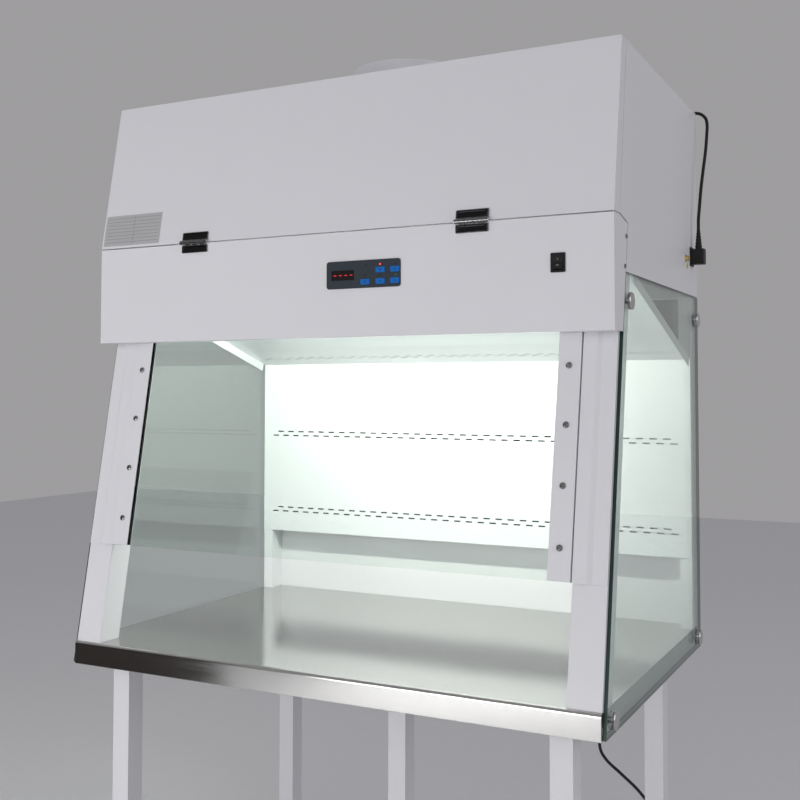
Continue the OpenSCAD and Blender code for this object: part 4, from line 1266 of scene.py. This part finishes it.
@dataclass
class CarriedNodes(Assembly):
    """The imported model's own nodes, each in the finish of its material slot."""

    special: dict[str, Finish] = field(
        default_factory=lambda: {
            "front_sash": SheetGlass("sash_glass", (0.0, math.cos(LEAN), -math.sin(LEAN))),
            "leg_end_caps": Moulded("cap_plastic", (0.03, 0.03, 0.032), 0.55, 0.25),
            # rear_wall and rear_baffle carry painted shade: near black on the wall behind the
            # baffle and inside the baffle's slots.
            "rear_wall": PowderCoat(
                "rear_wall_white", shaded_box=(row(-600, 0, -424), row(600, 594.3, 200))
            ),
            "rear_baffle": PowderCoat(
                "baffle_white", shaded_box=(row(-503.5, 552.2, -411.0), row(503.5, 573.0, -51.0))
            ),
            "strip_screws": SCREW_STEEL,
            "flap_screws": SCREW_STEEL,
            "fan_motor": PowderCoat("motor_black", (0.03, 0.03, 0.033), 0.45, 0.2),
        }
    )

    def build(self) -> None:
        """Dresses every node."""
        slots = {part["node"]: part["material_slot"] for part in frame["record"]["subparts"]}
        for name, node in frame["nodes"].items():
            finish = self.special.get(name, FINISHES[slots[name]])
            self.book.dress(node, finish)
            LOG.info("node %s in %s", name, finish.name)


@dataclass(frozen=True)
class SoftLamp:
    """A soft rectangular lamp that points at a target.

    Places are in metres and power is in watts. Glass and metal show a mirrored lamp.
    """

    name: str
    place: Point
    target: Point
    size: tuple[float, float]
    power: float
    colour: Colour = (1.0, 1.0, 1.0)
    mirrored: bool = True

    def hang(self) -> None:
        """Adds the lamp."""
        data = bpy.data.lights.new(self.name, "AREA")
        data.shape = "RECTANGLE"
        data.size, data.size_y = self.size
        data.energy = self.power
        data.color = self.colour
        lamp = bpy.data.objects.new(self.name, data)
        lamp.location = self.place
        lamp.visible_glossy = self.mirrored
        facing = Vector(self.target) - Vector(self.place)
        lamp.rotation_euler = facing.to_track_quat("-Z", "Y").to_euler()
        bpy.context.collection.objects.link(lamp)


LAMPS: tuple[SoftLamp, ...] = (
    SoftLamp(
        "left_window", (-3.3, -3.2, 1.5), (-0.4, -0.2, 1.35), (1.5, 1.8), 25.0, mirrored=False
    ),
    SoftLamp("front_soft", (0.9, -4.4, 2.2), (0.0, 0.0, 1.3), (3.2, 2.0), 16.0),
    SoftLamp("right_soft", (4.2, -0.6, 2.2), (0.3, 0.0, 1.3), (2.4, 2.4), 27.0),
    SoftLamp("top_soft", (0.0, 0.6, 4.6), (0.0, 0.0, 1.5), (3.0, 3.0), 5.0),
    SoftLamp("low_front", (-0.7, -2.9, 0.35), (0.3, 0.0, 0.7), (1.4, 0.4), 19.0),
    SoftLamp(
        "chamber_lamp", tuple(row(0, 150, 86)), tuple(row(0, 552, -190)), (0.86, 0.03), 6.8,
        (0.94, 1.0, 0.90),
    ),
)


@dataclass(frozen=True)
class StageSheet:
    """A plain square sheet of the studio, faintly mottled between two tones."""

    name: str
    size: float
    place: Point
    tones: tuple[Colour, Colour]
    roughness: float
    cells: float
    detail: float
    turn: float = 0.0

    def lay(self) -> bpy.types.Object:
        """Adds the sheet and marks it as stage.

        Returns:
            The sheet.
        """
        Bench.clear()
        bpy.ops.mesh.primitive_plane_add(
            size=self.size, location=self.place, rotation=(self.turn, 0.0, 0.0)
        )
        sheet = bpy.context.active_object
        sheet.name = self.name
        paint = Paint(self.name)
        grain = paint.noise((self.cells, self.cells, self.cells), self.detail)
        material = paint.surface(
            {
                "Base Color": paint.mix(grain, *self.tones),
                "Roughness": self.roughness + grain * 0.1,
            }
        )
        sheet.data.materials.append(material)
        return sheet


FLOOR = StageSheet(
    "floor", 16.0, (0.0, 0.0, -0.0005), ((0.83, 0.82, 0.83), (0.87, 0.86, 0.87)), 0.7, 30.0, 4.0
)
DARK_PANEL = StageSheet(
    "dark_panel", 1.3, (-1.59, -1.33, 0.65), ((0.070, 0.058, 0.052), (0.090, 0.075, 0.066)),
    0.85, 40.0, 3.0, math.pi / 2,
)


@dataclass
class Studio:
    """Camera, lamps, pale floor and plain backdrop."""

    eye: Point = (0.9886, -1.8513, 1.1689)
    yaw: float = math.radians(26.203)
    pitch: float = math.radians(2.294)
    lens: float = 47.38
    shift: tuple[float, float] = (-0.0394, -0.0643)
    backdrop: Colour = (0.345, 0.337, 0.345)
    even: Colour = (0.95, 0.95, 1.0)
    even_strength: float = 0.33

    def camera(self) -> None:
        """Sets the camera."""
        data = bpy.data.cameras.new("view")
        data.lens = self.lens
        data.sensor_width = 36.0
        data.shift_x, data.shift_y = self.shift
        data.clip_end = 60.0
        camera = bpy.data.objects.new("view", data)
        camera.location = self.eye
        camera.rotation_euler = (math.pi / 2 + self.pitch, 0.0, self.yaw)
        bpy.context.collection.objects.link(camera)
        bpy.context.scene.camera = camera

    def surroundings(self) -> None:
        """Lights everything evenly, and shows the backdrop to the camera, metal and glass."""
        world = bpy.data.worlds.new("surroundings")
        world.use_nodes = True
        tree = world.node_tree
        tree.nodes.clear()
        mixed = tree.nodes.new("ShaderNodeMixShader")
        shades = ((1, self.even, self.even_strength), (2, self.backdrop, 1.0))
        for index, colour, strength in shades:
            shade = tree.nodes.new("ShaderNodeBackground")
            shade.inputs["Color"].default_value = (*colour, 1.0)
            shade.inputs["Strength"].default_value = strength
            tree.links.new(shade.outputs[0], mixed.inputs[index])
        path = tree.nodes.new("ShaderNodeLightPath")
        shown = path.outputs["Is Camera Ray"]
        for ray in ("Is Glossy Ray", "Is Transmission Ray"):
            either = tree.nodes.new("ShaderNodeMath")
            either.operation = "MAXIMUM"
            tree.links.new(shown, either.inputs[0])
            tree.links.new(path.outputs[ray], either.inputs[1])
            shown = either.outputs[0]
        tree.links.new(shown, mixed.inputs[0])
        out = tree.nodes.new("ShaderNodeOutputWorld")
        tree.links.new(mixed.outputs[0], out.inputs[0])
        bpy.context.scene.world = world

    def build(self) -> None:
        """Makes the whole studio but the camera. Only metal and gloss show the dark panel."""
        for lamp in LAMPS:
            lamp.hang()
        self.surroundings()
        FLOOR.lay()
        panel = DARK_PANEL.lay()
        panel.visible_camera = False
        panel.visible_diffuse = False
        panel.visible_shadow = False
        panel.visible_transmission = False
        bpy.context.scene.view_settings.view_transform = "Standard"


def main() -> None:
    """Builds the camera and lead first, then the pieces, the finishes and the studio."""
    logging.basicConfig(level=logging.INFO, format="%(name)s: %(message)s")
    studio = Studio()
    studio.camera()
    book = FinishBook()
    assemblies: tuple[Assembly, ...] = (
        MainsLead(book), DisplayDigits(book), KeySigns(book), RockerMarks(book),
        HingeCovers(book), RatingPlate(book), EarthMark(book), CarriedNodes(book),
    )
    for assembly in assemblies:
        LOG.info("building %s", type(assembly).__name__)
        assembly.build()
    studio.build()


if __name__ == "__main__":
    main()
